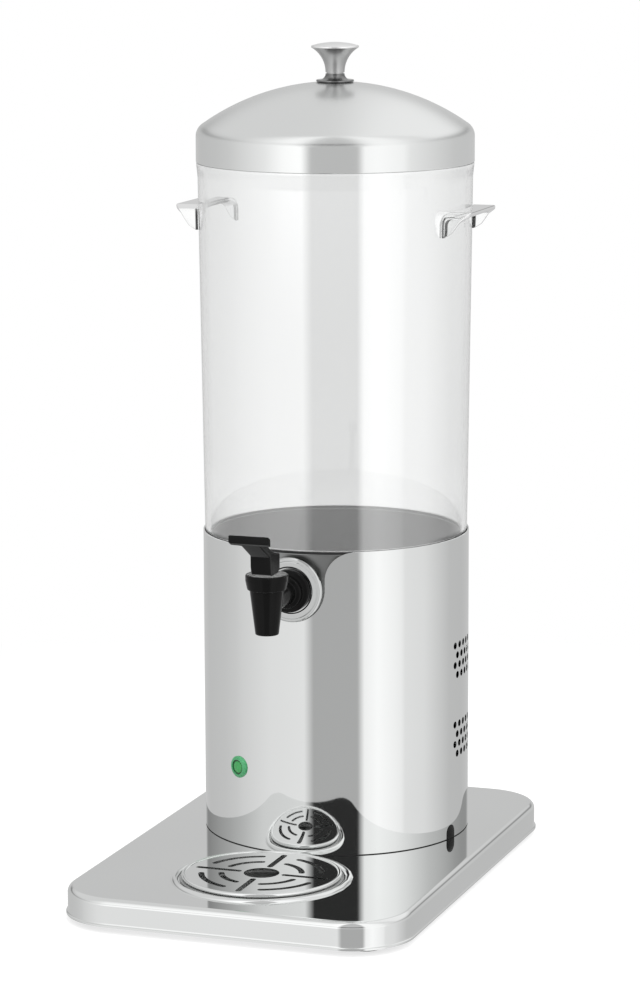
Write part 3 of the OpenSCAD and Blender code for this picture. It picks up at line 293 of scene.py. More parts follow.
class Graph:
    """The node tree of a material or world."""

    def __init__(self, tree):
        self.tree = tree
        tree.nodes.clear()

    def node(self, kind, settings=None, inputs=None, out=0):
        """Adds a node: its settings first, then the values or links of its inputs. Returns one output."""
        node = self.tree.nodes.new(kind)
        for key, value in (settings or {}).items():
            if key == "stops":
                self.fill(node.color_ramp, value)
            else:
                setattr(node, key, value)
        for key, value in (inputs or {}).items():
            if isinstance(value, Wire):
                self.tree.links.new(value.socket, node.inputs[key])
            else:
                node.inputs[key].default_value = value
        return Wire(self, node.outputs[out]) if len(node.outputs) else None

    @staticmethod
    def fill(color_ramp, stops):
        """Sets a ramp's stops from pairs of place and grey."""
        while len(color_ramp.elements) < len(stops):
            color_ramp.elements.new(1.0)
        for element, (place, grey) in zip(color_ramp.elements, stops):
            element.position = place
            element.color = (grey, grey, grey, 1.0)

    def place(self, stretch=(1.0, 1.0, 1.0), shift=(0.0, 0.0, 0.0)):
        """Object coordinates, stretched along the axes and shifted."""
        where = self.node("ShaderNodeTexCoord", out="Object")
        return self.node("ShaderNodeMapping", {}, {"Vector": where, "Location": shift, "Scale": stretch})

    def height(self):
        """Height of a place."""
        return self.node("ShaderNodeSeparateXYZ", {}, {0: self.place()}, out="Z")

    def distance(self, where):
        """Length of a vector."""
        return self.node("ShaderNodeVectorMath", {"operation": "LENGTH"}, {0: where}, out="Value")

    def noise(self, scale, detail=2.0, stretch=(1.0, 1.0, 1.0)):
        """Soft noise between nothing and one, with scale features to the metre."""
        return self.node("ShaderNodeTexNoise", {},
                         {"Vector": self.place(stretch), "Scale": scale, "Detail": detail})

    def blend(self, factor, colour, low, high):
        """Colour that goes from one shade to another."""
        shades = {6: (*shade(colour, low), 1.0), 7: (*shade(colour, high), 1.0)}
        return self.node("ShaderNodeMix", {"data_type": "RGBA"}, {"Factor": factor, **shades}, out=2)

    def bump(self, height, strength, distance):
        """Normal bent by a height."""
        return self.node("ShaderNodeBump", {}, {"Height": height, "Strength": strength, "Distance": distance})


class Paint(Graph):
    """The node tree of a new material."""

    def __init__(self, name):
        self.material = bpy.data.materials.new(name)
        self.material.use_nodes = True
        super().__init__(self.material.node_tree)

    def surface(self, shader):
        """Makes a shader the material's surface and returns the material."""
        self.node("ShaderNodeOutputMaterial", {}, {"Surface": shader})
        return self.material

    def principled(self, inputs):
        """Makes a Principled shader the material's surface and returns the material."""
        return self.surface(self.node("ShaderNodeBsdfPrincipled", {}, inputs))


def shade(colour, factor):
    """A colour made darker or lighter."""
    return tuple(min(1.0, channel * factor) for channel in colour)


# Finishes

CLEAR = {"IOR": 1.49, "Transmission Weight": 1.0}
HAZE, HAZE_PATCHES = 0.02, (0.35, 0.8)
# Heights over the tube's foot where the sheen begins and is full, and slants over which the foot's edge loses it
SHEEN_FOOT, SHEEN_FULL, SHEEN_SLANT = (1.5 * MM, 4 * MM), (22 * MM, 55 * MM), (0.25, 0.6)
LOW_SHEEN = 0.8
# Distances from the tube's outer wall where the handle's dark line begins and ends
DARK_LINE_FROM, DARK_LINE_TO = (0.1 * MM, 0.2 * MM), (1.8 * MM, 2.3 * MM)


def polished_metal(name, colour, roughness, wave, marking=0.3, edge=1.0):
    """Polished sheet: tone in broad clouds, hair-fine polishing marks round the axis in the roughness, and the slight
    waviness of pressed sheet in the normal. A dark edge tint paints shade where it is seen at a slant."""
    paint = Paint(name)
    marks = paint.noise(40.0, 4.0, (1.0, 1.0, 30.0))
    return paint.principled({
        "Base Color": paint.blend(paint.noise(7.0), colour, 0.96, 1.03),
        "Metallic": 1.0,
        "Roughness": roughness * (1 - marking / 2) + marks * (roughness * marking),
        "Specular Tint": (edge, edge, edge, 1.0),
        "Normal": paint.bump(paint.noise(14.0, 1.0), wave, 0.002),
    })


def graded_metal(name, colour, tones, roughness, level, depth):
    """Polished piece with two tones and two degrees of polish, below and above a level, over faint clouds. Two
    different tones are painted shade below and painted light above.
    """
    paint = Paint(name)
    above = paint.height().ramp(level - depth, level + depth)
    polish = roughness[0] + above * (roughness[1] - roughness[0])
    return paint.principled({
        "Base Color": paint.blend(above, colour, *tones),
        "Metallic": 1.0,
        "Roughness": polish + paint.noise(7.0) * 0.01,
    })


def brushed_metal(name, colour, roughness, stretch):
    """Plain metal with drawn marks that run across the stretched axis."""
    paint = Paint(name)
    marks = paint.noise(90.0, 5.0, stretch)
    return paint.principled({
        "Base Color": paint.blend(paint.noise(20.0) * 0.5 + marks * 0.5, colour, 0.85, 1.1),
        "Metallic": 1.0,
        "Roughness": roughness + marks * 0.15,
        "Normal": paint.bump(marks, 0.08, 0.0003),
    })


def above_tube(paint, tank):
    """How far a place lies outside the tube's cone: its distance from the axis less the cone's radius there."""
    away = paint.distance(paint.place((1.0, 1.0, 0.0), -AXIS))
    return away - paint.height() * tube_flare(tank) - float(tube_radius(0.0, tank))


def clear_tube(name, colour, sheen, tank):
    """Clear moulded tube: full transmission with faint handling haze in the roughness. The outer wall has a bright
    sheen where it is seen from outside, a little weaker near the foot and none at the foot's edge seen at a slant."""
    paint = Paint(name)
    haze = paint.noise(18.0, 3.0)
    outer = above_tube(paint, tank).ramp(-2 * MM, -1 * MM)
    height = paint.height() - float(TUBE_LOW[2])
    fade = height.ramp(*SHEEN_FULL) * (1 - LOW_SHEEN) + LOW_SHEEN
    from_inside = paint.node("ShaderNodeNewGeometry", out="Backfacing")
    slant = paint.node("ShaderNodeLayerWeight", {}, {"Blend": 0.5}, out="Facing")
    bare = (1 - height.ramp(*SHEEN_FOOT)) * slant.ramp(*SHEEN_SLANT)
    return paint.principled({
        "Base Color": paint.blend(haze, colour, 0.995, 1.0),
        "Metallic": outer * (1 - from_inside) * (1 - bare) * fade * sheen,
        "Roughness": haze.ramp(*HAZE_PATCHES) * HAZE + HAZE,
        **CLEAR,
    })


def clear_handle(name, colour, tank):
    """Clear moulded handle: full transmission with faint haze, and a dark line in its base colour where it meets the
    tube.
    """
    paint = Paint(name)
    above = above_tube(paint, tank)
    line = above.ramp(*DARK_LINE_FROM) * (1 - above.ramp(*DARK_LINE_TO))
    return paint.principled({
        "Base Color": paint.blend(line, colour, 1.0, 0.02),
        "Roughness": paint.noise(18.0, 3.0).ramp(*HAZE_PATCHES) * HAZE,
        **CLEAR,
    })


def moulded_plastic(name, colour, roughness, grain, shine):
    """Moulded plastic: fine grain in the normal, soft clouds in tone and gloss."""
    paint = Paint(name)
    clouds = paint.noise(45.0, 3.0)
    return paint.principled({
        "Base Color": paint.blend(clouds, colour, 0.8, 1.35),
        "Roughness": roughness * 0.75 + clouds * (roughness * 0.5),
        "Specular IOR Level": shine,
        "Normal": paint.bump(paint.noise(900.0), grain, 0.0002),
    })


def matt_rubber(name, colour, roughness):
    """Rubber or silicone: matt, with a dusty cloud over a fine grain."""
    paint = Paint(name)
    dust = paint.noise(70.0, 4.0)
    return paint.principled({
        "Base Color": paint.blend(dust, colour, 0.85, 1.3),
        "Roughness": roughness - dust * 0.12,
        "Specular IOR Level": 0.35,
        "Normal": paint.bump(paint.noise(1400.0), 0.2, 0.0002),
    })


def cell_foam(name, colour):
    """Closed-cell foam: small round cells in tone and height."""
    paint = Paint(name)
    cells = paint.node("ShaderNodeTexVoronoi", {"feature": "SMOOTH_F1"}, {"Vector": paint.place(), "Scale": 600.0})
    return paint.principled({
        "Base Color": paint.blend(cells, colour, 1.05, 0.8),
        "Roughness": 0.85 + cells * 0.1,
        "Normal": paint.bump(cells, 0.3, 0.0006),
    })


def lamp_plastic(name, colour, glow):
    """Translucent green plastic with a low glow that drifts with its moulding."""
    paint = Paint(name)
    clouds = paint.noise(160.0)
    return paint.principled({
        "Base Color": paint.blend(clouds, colour, 0.8, 1.3),
        "Roughness": 0.12 + clouds * 0.1,
        "Coat Weight": 0.5,
        "Emission Color": paint.blend(clouds, colour, 0.9, 1.2),
        "Emission Strength": glow,
    })


class Finishes:
    """All finishes of the dispenser, made once and used by every operator."""

    made = {}

    @classmethod
    def get(cls, name):
        if not cls.made:
            rows = cls.rows(bpy.context.scene.dispenser_colours, bpy.context.scene.dispenser_tank)
            cls.made = {key: build(key, *values) for key, (build, *values) in rows.items()}
        return cls.made[name]

    @staticmethod
    def rows(colours, tank):
        """For each finish the function that makes it and the values it takes."""
        steel, knob, tap = colours.steel, colours.knob, colours.tap
        skirt_top = LID_LOW[2] + tank.lid_skirt + 0.4 * MM
        knob_rim = corners("knob_top")[1][2] - 3.2 * MM
        return {
            "polished_steel": (polished_metal, steel, 0.035, 0.012),
            "soft_polish": (graded_metal, steel, (1.0, 1.0), (0.1, 0.26), skirt_top, 0.8 * MM),
            # steel darkened as painted shade, standing in for the black tap's reflection, which the ring does not
            # show
            "ring_steel": (polished_metal, shade(steel, 0.72), 0.08, 0.01),
            # satin polish, and the steel darkened as painted shade for the dark inside of the dish under the grid
            "satin_steel": (polished_metal, shade(steel, 0.6), 0.45, 0.01),
            # the cup's steel darkened and given a dark edge tint: painted shade for the cup seen inside the tube
            "dark_steel": (polished_metal, shade(steel, 0.36), 0.3, 0.01, 0.3, 0.2),
            # a darker grip and a lighter crown of the same chrome: painted shade below the rim, painted light above
            # it
            "knob_chrome": (graded_metal, knob, (0.7, 1.3), (0.3, 0.3), knob_rim, 0.2 * MM),
            # the knob's chrome darkened as painted shade for the foot
            "knob_shade": (polished_metal, shade(knob, 0.3), 0.12, 0.004, 0.1),
            "clear_plastic": (clear_tube, colours.clear, 0.45, tank),
            "clear_handle": (clear_handle, colours.clear, tank),
            "tap_black": (moulded_plastic, tap, 0.11, 0.02, 0.1),
            "lever_black": (moulded_plastic, shade(tap, 2.0), 0.2, 0.02, 0.03),
            "black_plastic": (moulded_plastic, colours.satin, 0.42, 0.12, 0.5),
            "clip_black": (moulded_plastic, tap, 0.14, 0.02, 0.16),
            "black_rubber": (matt_rubber, colours.rubber, 0.75),
            "soft_white": (matt_rubber, colours.silicone, 0.6),
            "plain_steel": (brushed_metal, colours.plain_steel, 0.28, (1.0, 25.0, 1.0)),
            "aluminium": (brushed_metal, colours.aluminium, 0.32, (30.0, 1.0, 1.0)),
            "ceramic": (matt_rubber, colours.ceramic, 0.7),
            "foam": (cell_foam, colours.foam),
            "lamp_green": (lamp_plastic, colours.lamp, 0.25),
            "lamp_rim": (lamp_plastic, colours.lamp_rim, 0.1),
            # the lamp's green darkened as painted shade in the groove
            "lamp_dark": (lamp_plastic, shade(colours.lamp, 0.2), 0.0),
        }


# Mesh tools. A sheet is a pair of points and blocks of faces.

ARC_SHARE = 0.49  # part of a side that the arc at one of its ends may take
GUARD, GUARD_SHARE = 1.3, 0.495  # distance of a point beside an arc, in lengths of the arc's cut and of the side


def make_mesh(name, sheets, normals=None):
    """Mesh of closed sheets, shaded smooth up to the sharp angle or by the given normals of all face corners."""
    points, faces, count = [], [], 0
    for sheet, blocks in sheets:
        points += sheet.reshape(-1, 3).tolist()
        faces += [face for block in blocks for face in (block + count).tolist()]
        count = len(points)
    mesh = bpy.data.meshes.new(name)
    mesh.from_pydata(points, [], faces)
    mesh.polygons.foreach_set("use_smooth", np.ones(len(mesh.polygons), bool))
    mesh.set_sharp_from_angle(angle=SHARP_ANGLE)
    if normals is not None:
        mesh.normals_split_custom_set(normals.tolist())
    mesh.update()
    return mesh


def add_piece(name, sheets, body, finish, replaced=(), normals=None):
    """Makes a piece from sheets: it rides on a body, takes a finish and stands for CAD nodes."""
    piece = bpy.data.objects.new(name, make_mesh(name, sheets, normals))
    piece.data.materials.append(Finishes.get(finish))
    bpy.context.scene.collection.objects.link(piece)
    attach(piece, body)
    if replaced:
        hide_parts(*replaced)
    return piece


def finish_nodes(finish, *nodes):
    """Gives CAD nodes whose shape stays a finish."""
    for name in nodes:
        materials = frame["nodes"][name].data.materials
        materials.clear()
        materials.append(Finishes.get(finish))


def unit(vectors):
    """Vectors brought to length one."""
    return vectors / np.linalg.norm(vectors, axis=-1, keepdims=True)


def grid_quads(rows, columns, wrap_rows, wrap_columns):
    """Quads between neighbouring points of a grid, with the last row or column joined to the first where it wraps.
    They face along the product of the step over columns with the step over rows."""
    index = np.arange(rows * columns).reshape(rows, columns)
    if wrap_rows:
        index = np.vstack([index, index[:1]])
    if wrap_columns:
        index = np.hstack([index, index[:, :1]])
    quads = np.stack([index[:-1, :-1], index[:-1, 1:], index[1:, 1:], index[1:, :-1]], axis=-1)
    return quads.reshape(-1, 4)


def strip(points, flip=False):
    """Sheet whose rows are closed sections: quads between the rows, and the first and last section as caps."""
    rows, columns = points.shape[:2]
    cap = np.arange(columns)[None]
    blocks = [grid_quads(rows, columns, False, True), cap[:, ::-1], cap + (rows - 1) * columns]
    return points, [block[:, ::-1] for block in blocks] if flip else blocks


def turned(profile, origin, axis=UP, steps=144):
    """Sheet of revolution: a profile point (r, h) goes to origin + h along the axis + r round it. A profile that
    begins and ends on the axis closes in two poles, and any other is a closed loop."""
    profile = np.asarray(profile, float)
    radius, height = profile.T
    if np.sum(radius * np.roll(height, -1) - np.roll(radius, -1) * height) < 0:
        profile = profile[::-1]
    side = unit(np.cross(UP if abs(axis[2]) < 0.9 else -FRONT, axis))
    angle = np.linspace(0, 2 * np.pi, steps, endpoint=False)[:, None]
    ring = np.cos(angle) * side + np.sin(angle) * np.cross(axis, side)
    points = origin + profile[:, 1, None, None] * axis + profile[:, 0, None, None] * ring
    if max(profile[0, 0], profile[-1, 0]) > TINY:
        return points, [grid_quads(len(profile), steps, True, True)]
    inner = points[1:-1].reshape(-1, 3)
    here = np.arange(steps)
    after = np.roll(here, -1)
    last = len(inner) - steps
    low = np.stack([np.full(steps, len(inner)), after, here], axis=-1)
    high = np.stack([last + here, last + after, np.full(steps, len(inner) + 1)], axis=-1)
    blocks = [grid_quads(len(profile) - 2, steps, False, True), low, high]
    return np.concatenate([inner, points[[0, -1], 0]]), blocks


def arc(centre, radius, start, end, steps=8):
    """Points of an arc in a plane, from one angle in degrees to another."""
    angle = np.radians(np.linspace(start, end, steps + 1))
    return np.stack([centre[0] + radius * np.cos(angle), centre[1] + radius * np.sin(angle)], axis=-1)


def crown_of(half, height):
    """Radius of the arc over half a chord and a height, and half its angle in degrees."""
    radius = (half ** 2 + height ** 2) / (2 * height)
    return radius, math.degrees(math.asin(half / radius))


def rounded(stops, steps=5, closed=False):
    """Polyline through stops (a, b, radius): each corner with a radius becomes an arc that touches its two sides. A
    point just before and after each arc keeps the flat parts flat in smooth shading."""
    stops = [np.array(stop, float) for stop in stops]
    share = np.linspace(0, 1, steps + 1)[:, None]
    line = []
    for index, stop in enumerate(stops):
        point = stop[:2]
        at_end = index in (0, len(stops) - 1) and not closed
        if at_end or len(stop) < 3 or stop[2] <= 0:
            line.append(point[None])
            continue
        sides = [stops[other % len(stops)][:2] - point for other in (index - 1, index + 1)]
        room = [np.linalg.norm(side) for side in sides]
        before, after = (side / size for side, size in zip(sides, room))
        half = np.arccos(np.clip(before @ after, -1, 1)) / 2
        cut = min(stop[2] / np.tan(half), *(ARC_SHARE * size for size in room))
        centre = point + (before + after) / np.linalg.norm(before + after) * cut / np.cos(half)
        swing = (1 - share) * (point + before * cut - centre) + share * (point + after * cut - centre)
        swing *= cut * np.tan(half) / np.linalg.norm(swing, axis=1, keepdims=True)
        first, last = ((point + way * min(GUARD * cut, GUARD_SHARE * size))[None]
                       for way, size in zip((before, after), room))
        line += [first, centre + swing, last]
    return np.concatenate(line)


def divided(line, longest):
    """A polyline with points put in, so that no step is longer than the given length."""
    pieces = []
    for start, end in zip(line[:-1], line[1:]):
        count = max(1, math.ceil(np.linalg.norm(end - start) / longest))
        pieces.append(start + np.linspace(0, 1, count, endpoint=False)[:, None] * (end - start))
    return np.concatenate([*pieces, line[-1:]])


def sides_of(path):
    """Unit steps along a path in a plane, and the unit vectors to the left of them."""
    step = unit(np.gradient(path, axis=0))
    return step, np.stack([-step[:, 1], step[:, 0]], axis=-1)


def chunks(points, size):
    """Parts of about the given size, so that tables of all pairs stay small."""
    return np.array_split(points, max(1, len(points) // size))


def inside(points, loops):
    """Even-odd test: a point is inside when a ray to the right crosses the closed loops an odd number of times."""
    start = np.concatenate(loops)
    end = np.concatenate([np.roll(loop, -1, axis=0) for loop in loops])
    rise = np.where(start[:, 1] == end[:, 1], 1.0, end[:, 1] - start[:, 1])
    result = []
    for part in chunks(points, 2000):
        x, y = part[:, :1], part[:, 1:]
        crosses = (start[:, 1] > y) != (end[:, 1] > y)
        at = start[:, 0] + (y - start[:, 1]) * (end[:, 0] - start[:, 0]) / rise
        result.append(np.sum(crosses & (x < at), axis=1) % 2 == 1)
    return np.concatenate(result)


def pierced(loops, filling, margin):
    """Points, triangles and edges of a flat sheet: the first loop is its outline, the others are holes, and filling
    points that keep a margin from all loops refine it. Delaunay triangles stay where their middle is in the sheet."""
    edge_points = np.concatenate(loops)
    filling = filling[inside(filling, loops)]
    near = np.concatenate([
        np.min(np.linalg.norm(part[:, None] - edge_points[None], axis=2), axis=1)
        for part in chunks(filling, 500)
    ])
    points = np.concatenate([edge_points, filling[near > margin]])
    edges = []
    for loop in loops:
        here = np.arange(len(loop)) + len(edges)
        edges += np.stack([here, np.roll(here, -1)], axis=-1).tolist()
    found, _, faces, *_ = delaunay_2d_cdt([Vector(point) for point in points.tolist()], edges, [], 0, TINY)
    if len(found) != len(points):
        raise RuntimeError("the sheet's loops touch each other")
    faces = np.array(faces)
    faces = faces[inside(points[faces].mean(axis=1), loops)]
    one, two, three = (points[faces[:, i]] for i in range(3))
    way = (two - one)[:, 0] * (three - one)[:, 1] - (two - one)[:, 1] * (three - one)[:, 0]
    faces[way < 0] = faces[way < 0][:, ::-1]
    return points, faces, np.array(edges)


def thick(outer, inner, faces, edges):
    """Closed sheet from a pierced one: its triangles on both sides, and quads along all its edges."""
    count = len(outer)
    sides = np.column_stack([edges + count, edges[:, ::-1]])
    return np.concatenate([outer, inner]), [faces, faces[:, ::-1] + count, sides]


def beam(stations, low, high, left, right, radius, steps=4):
    """Beam towards the rear: at each station along y a rectangle from left to right and from low to high with round
    corners. The end sections are drawn in, so that the ends are round too."""
    y, low, high, left, right = np.broadcast_arrays(stations, low, high, left, right)
    radius = np.minimum(radius, ARC_SHARE * np.minimum(high - low, right - left))
    ends = [0] * steps + list(range(len(y))) + [len(y) - 1] * steps
    bend = np.radians(np.linspace(90, 0, steps + 1)[:-1])
    straight = np.zeros(len(y))
    inset = np.concatenate([1 - np.cos(bend), straight, 1 - np.cos(bend[::-1])])
    shift = np.concatenate([-np.sin(bend), straight, np.sin(bend[::-1])])
    radius = radius[ends]
    y = y[ends] + shift * radius
    low, left = low[ends] + inset * radius, left[ends] + inset * radius
    high, right = high[ends] - inset * radius, right[ends] - inset * radius
    corner = radius * (1 - inset)
    section = []
    for x, z, start in ((right - corner, high - corner, 0), (left + corner, high - corner, 90),
                        (left + corner, low + corner, 180), (right - corner, low + corner, 270)):
        angle = np.radians(np.linspace(start, start + 90, steps + 1))
        around = [x[:, None] + corner[:, None] * np.cos(angle), np.repeat(y[:, None], steps + 1, axis=1),
                  z[:, None] + corner[:, None] * np.sin(angle)]
        section.append(np.stack(around, axis=-1))
    return strip(np.concatenate(section, axis=1), flip=True)


# Base plate, drip tray and grid

def rounded_outline(half_x, half_y, radius, corner_steps=20, side_steps=10):
    """Outline of a rectangle with round corners, counter-clockwise, with its outward normals."""
    points, normals = [], []
    share = np.linspace(0, 1, side_steps + 1)[1:-1, None]
    straight = np.array([half_x - radius, half_y - radius])
    for quarter, signs in enumerate(((1, 1), (-1, 1), (-1, -1), (1, -1))):
        angle = np.radians(np.linspace(0, 90, corner_steps + 1) + 90 * quarter)
        normal = np.stack([np.cos(angle), np.sin(angle)], axis=-1)
        points.append(straight * signs + radius * normal)
        along = np.array([-np.sin(angle[-1]), np.cos(angle[-1])]) * 2 * straight[quarter % 2]
        points.append(points[-1][-1] + share * along)
        normals += [normal, np.repeat(normal[-1:], side_steps - 1, axis=0)]
    return np.concatenate(points), np.concatenate(normals)


def plate_surface(base):
    """Pressed plate as one closed grid: columns run round the outline, rows run from the tray's hole over the
    raised ring and the flat top, round the edge, down the skirt, over the lip and back along the inside. Rows near
    the hole lie on circles round the tray, and the others on offsets of the outline."""
    lip_half = (PLATE_HIGH - PLATE_LOW)[:2] / 2
    outline, normal = rounded_outline(lip_half[0] - base.lip, lip_half[1] - base.lip, base.corner)
    centre = middle("drip_tray")[:2]
    foot, top = PLATE_LOW[2] - base.hem, PLATE_TOP
    hole = TRAY_RADIUS - 2.8 * MM
    bead_in = TRAY_RADIUS + base.bead_gap
    half = base.bead_width / 2
    crown, reach = crown_of(half, base.bead_height)
    soft = 0.3 * MM
    circles = np.concatenate([
        [(hole, top - base.sheet), (hole, top), (bead_in - soft, top)],
        arc((bead_in + half, top + base.bead_height - crown), crown, 90 + reach, 90 - reach, 12),
        [(bead_in + base.bead_width + soft, top)],
    ])
    edge_centre = (-base.edge, top - base.edge)
    lip_top = foot + base.sheet
    offsets = np.concatenate([
        [(-base.edge - soft, top)],
        arc(edge_centre, base.edge, 90, 0, 10),
        [(0, lip_top + base.lip + soft)],
        arc((base.lip, lip_top + base.lip), base.lip, 180, 270, 4),
        [(base.lip, foot), (-base.sheet, foot)],
        arc(edge_centre, base.edge - base.sheet, 0, 90, 6),
    ])

    def rows(start, way, profile):
        flat = start + profile[:, 0, None, None] * way
        return np.concatenate([flat, np.broadcast_to(profile[:, 1, None, None], (*flat.shape[:2], 1))], axis=2)

    points = np.concatenate([rows(centre, unit(outline - centre), circles), rows(outline, normal, offsets)])
    return points, [grid_quads(len(points), len(outline), True, True)[:, ::-1]]


def tray_surface():
    """Dish turned from its section: floor, round corner, wall and flat rim."""
    floor, rim = TRAY_LOW[2], TRAY_HIGH[2]
    wall = TRAY_RADIUS - 3.2 * MM
    sheet, edge = 0.8 * MM, 0.3 * MM
    profile = rounded([
        (0, floor + sheet), (wall - sheet, floor + sheet, 2.2 * MM), (wall - sheet, rim, edge),
        (TRAY_RADIUS, rim, edge), (TRAY_RADIUS, rim - sheet, edge), (wall, rim - sheet, 0.2 * MM),
        (wall, floor, 3 * MM), (0, floor),
    ])
    return turned(profile, on_floor(middle("drip_tray")))


def slot_loop(points, half, steps=8):
    """Outline of a slot along a path: the path moved to both sides, joined by half circles."""
    step, normal = sides_of(points)
    angle = np.pi * np.linspace(0, 1, steps + 1)[1:-1, None]
    end = points[-1] + half * (np.cos(angle) * -normal[-1] + np.sin(angle) * step[-1])
    start = points[0] + half * (np.cos(angle) * normal[0] - np.sin(angle) * step[0])
    return np.concatenate([points - half * normal, end, (points + half * normal)[::-1], start])


def grid_surface(base):
    """Slotted disc in a rolled rim: a pierced flat sheet with a straight slot on each axis and two arcs in each
    quarter, given a thickness, and a ring of round section."""
    outer = half_width("drip_grid")
    rim = outer - base.grid_rim
    centre = middle("drip_grid")
    half = base.grid_slot / 2
    land, arc_span, rings = 4 * MM, 52, (0.5, 0.75)
    loops = [arc((0, 0), rim, 0, 360, 120)[:-1], arc((0, 0), base.grid_hole, 360, 0, 48)[:-1]]
    for start in (0, 90, 180, 270):
        along = np.array([math.cos(math.radians(start)), math.sin(math.radians(start))])
        reach = np.linspace(base.grid_hole + land, rings[1] * outer + land, 6)[:, None]
        loops.append(slot_loop(reach * along, half))
        first = start + 45 - arc_span / 2
        loops += [slot_loop(arc((0, 0), ring * outer, first, first + arc_span, 14), half) for ring in rings]
    points, faces, edges = pierced(loops, np.zeros((1, 2)), 0.1)
    flat = np.column_stack([points, np.zeros(len(points))]) + centre
    lift = base.grid_sheet / 2 * UP
    wire = arc((rim, 0), base.grid_rim, 0, 360, 20)[:-1]
    return [thick(flat + lift, flat - lift, faces, edges), turned(wire, centre, steps=160)]


class DISPENSER_OT_base(bpy.types.Operator):
    """Dresses the base plate with its feet, cover and gasket"""

    bl_idname = "dispenser.base"
    bl_label = "Base plate"

    def execute(self, context):
        base = context.scene.dispenser_base
        add_piece("pressed_plate", [plate_surface(base)], "base", "polished_steel", ["base_plate"])
        finish_nodes("plain_steel", "bottom_cover", "foot_screws", "housing_screws")
        finish_nodes("black_rubber", "rubber_feet", "base_gasket")
        return {"FINISHED"}


class DISPENSER_OT_drip_tray(bpy.types.Operator):
    """Dresses the drip tray and its grid"""

    bl_idname = "dispenser.drip_tray"
    bl_label = "Drip tray and grid"

    def execute(self, context):
        base = context.scene.dispenser_base
        add_piece("drip_dish", [tray_surface()], "tray", "satin_steel", ["drip_tray"])
        add_piece("slotted_grid", grid_surface(base), "grid", "polished_steel", ["drip_grid"])
        return {"FINISHED"}


# Housing

SEAM = math.radians(130)
GIRTH = 2 * np.pi * HOUSING_RADIUS
WALL_COLUMNS, WALL_MARGIN = 180, 1.2 * MM
WALL_LEVELS = np.linspace(HOUSING_LOW[2], HOUSING_HIGH[2], 25)
VENT_ROWS = 4
LAMP_HOLE, INLET_HOLE = 5.85 * MM, 6.05 * MM
SWITCH_HOLE = np.array([6.55, 10.05]) * MM


def along_wall(angle):
    """Place of an angle on the unrolled wall: the angle from the seam times the radius."""
    return (angle - SEAM) % (2 * np.pi) * HOUSING_RADIUS


def both_sides(angle):
    """An angle from the right side towards the rear, and its mirror image."""
    return angle, np.pi - angle


def lamp_angle(housing):
    """Angle of the pilot lamp round the housing."""
    return -np.pi / 2 - housing.lamp_turn


def notch_line(housing):
    """Rim of the unrolled wall at the tap notch, from left to right seen from the front: a round shoulder, a
    straight side, the half circle under the tap, and the same in mirror image. Across is the arc's length."""
    half, shoulder = housing.notch, housing.shoulder
    left = np.concatenate([
        arc((-half - shoulder, HOUSING_HIGH[2] - shoulder), shoulder, 90, 0, 14),
        arc((0, TAP[2]), half, 180, 270, 20),
    ])
    line = np.concatenate([left, left[-2::-1] * (-1, 1)])
    line[:, 0] = HOUSING_RADIUS * np.arcsin(line[:, 0] / HOUSING_RADIUS)
    return line + (along_wall(-np.pi / 2), 0)


def hole_loop(angle, height, radius, steps):
    """Outline of a round hole in the unrolled wall."""
    return arc((along_wall(angle), height), radius, 360, 0, steps)[:-1]


def housing_loops(housing):
    """Loops of the unrolled wall. The first is its outline with the tap notch in the rim and the arches in the
    foot; the others are vents and the openings of lamp, switch and inlet. Also gives how many points the outline
    has along the foot and the rim."""
    foot, rim = HOUSING_LOW[2], HOUSING_HIGH[2]
    half = housing.arch_width / 2
    spring = PLATE_TOP + housing.arch_height - half
    arch = np.concatenate([[(-half, foot)], arc((0, spring), half, 180, 0, 14), [(half, foot)]])
    arches = sorted(along_wall(angle) for angle in both_sides(-housing.arch_turn))
    longest = GIRTH / WALL_COLUMNS
    foot_line = np.concatenate([[(0, foot)], *[arch + (place, 0) for place in arches], [(GIRTH, foot)]])
    foot_line = divided(foot_line, longest)[:-1]
    rim_line = np.concatenate([[(GIRTH, rim)], notch_line(housing)[::-1], [(0, rim)]])
    rim_line = divided(rim_line, longest)[1:-1]
    last_side, first_side = (np.column_stack([np.full(len(WALL_LEVELS), x), WALL_LEVELS]) for x in (GIRTH, 0))
    loops = [np.concatenate([foot_line, last_side, rim_line, first_side[:0:-1]])]
    for side in (0, 1):
        for field in (housing.vent_upper, housing.vent_lower):
            for row in range(VENT_ROWS):
                height = PLATE_TOP + field + ((VENT_ROWS - 1) / 2 - row) * housing.vent_rows
                for column in range(housing.vent_count):
                    swing = (column + (row % 2) / 2) * (housing.vent_pitch / HOUSING_RADIUS)
                    angle = both_sides(housing.vent_start + swing)[side]
                    loops.append(hole_loop(angle, height, housing.vent / 2, 20))
    loops.append(hole_loop(lamp_angle(housing), middle("lamp_lens")[2], LAMP_HOLE, 32))
    loops.append(hole_loop(np.pi / 2, middle("cord_inlet")[2], INLET_HOLE, 32))
    switch = np.array([along_wall(np.pi / 2), middle("switch_frame")[2]])
    loops.append(switch + SWITCH_HOLE * [(-1, -1), (-1, 1), (1, 1), (1, -1)])
    return loops, len(foot_line), len(rim_line)


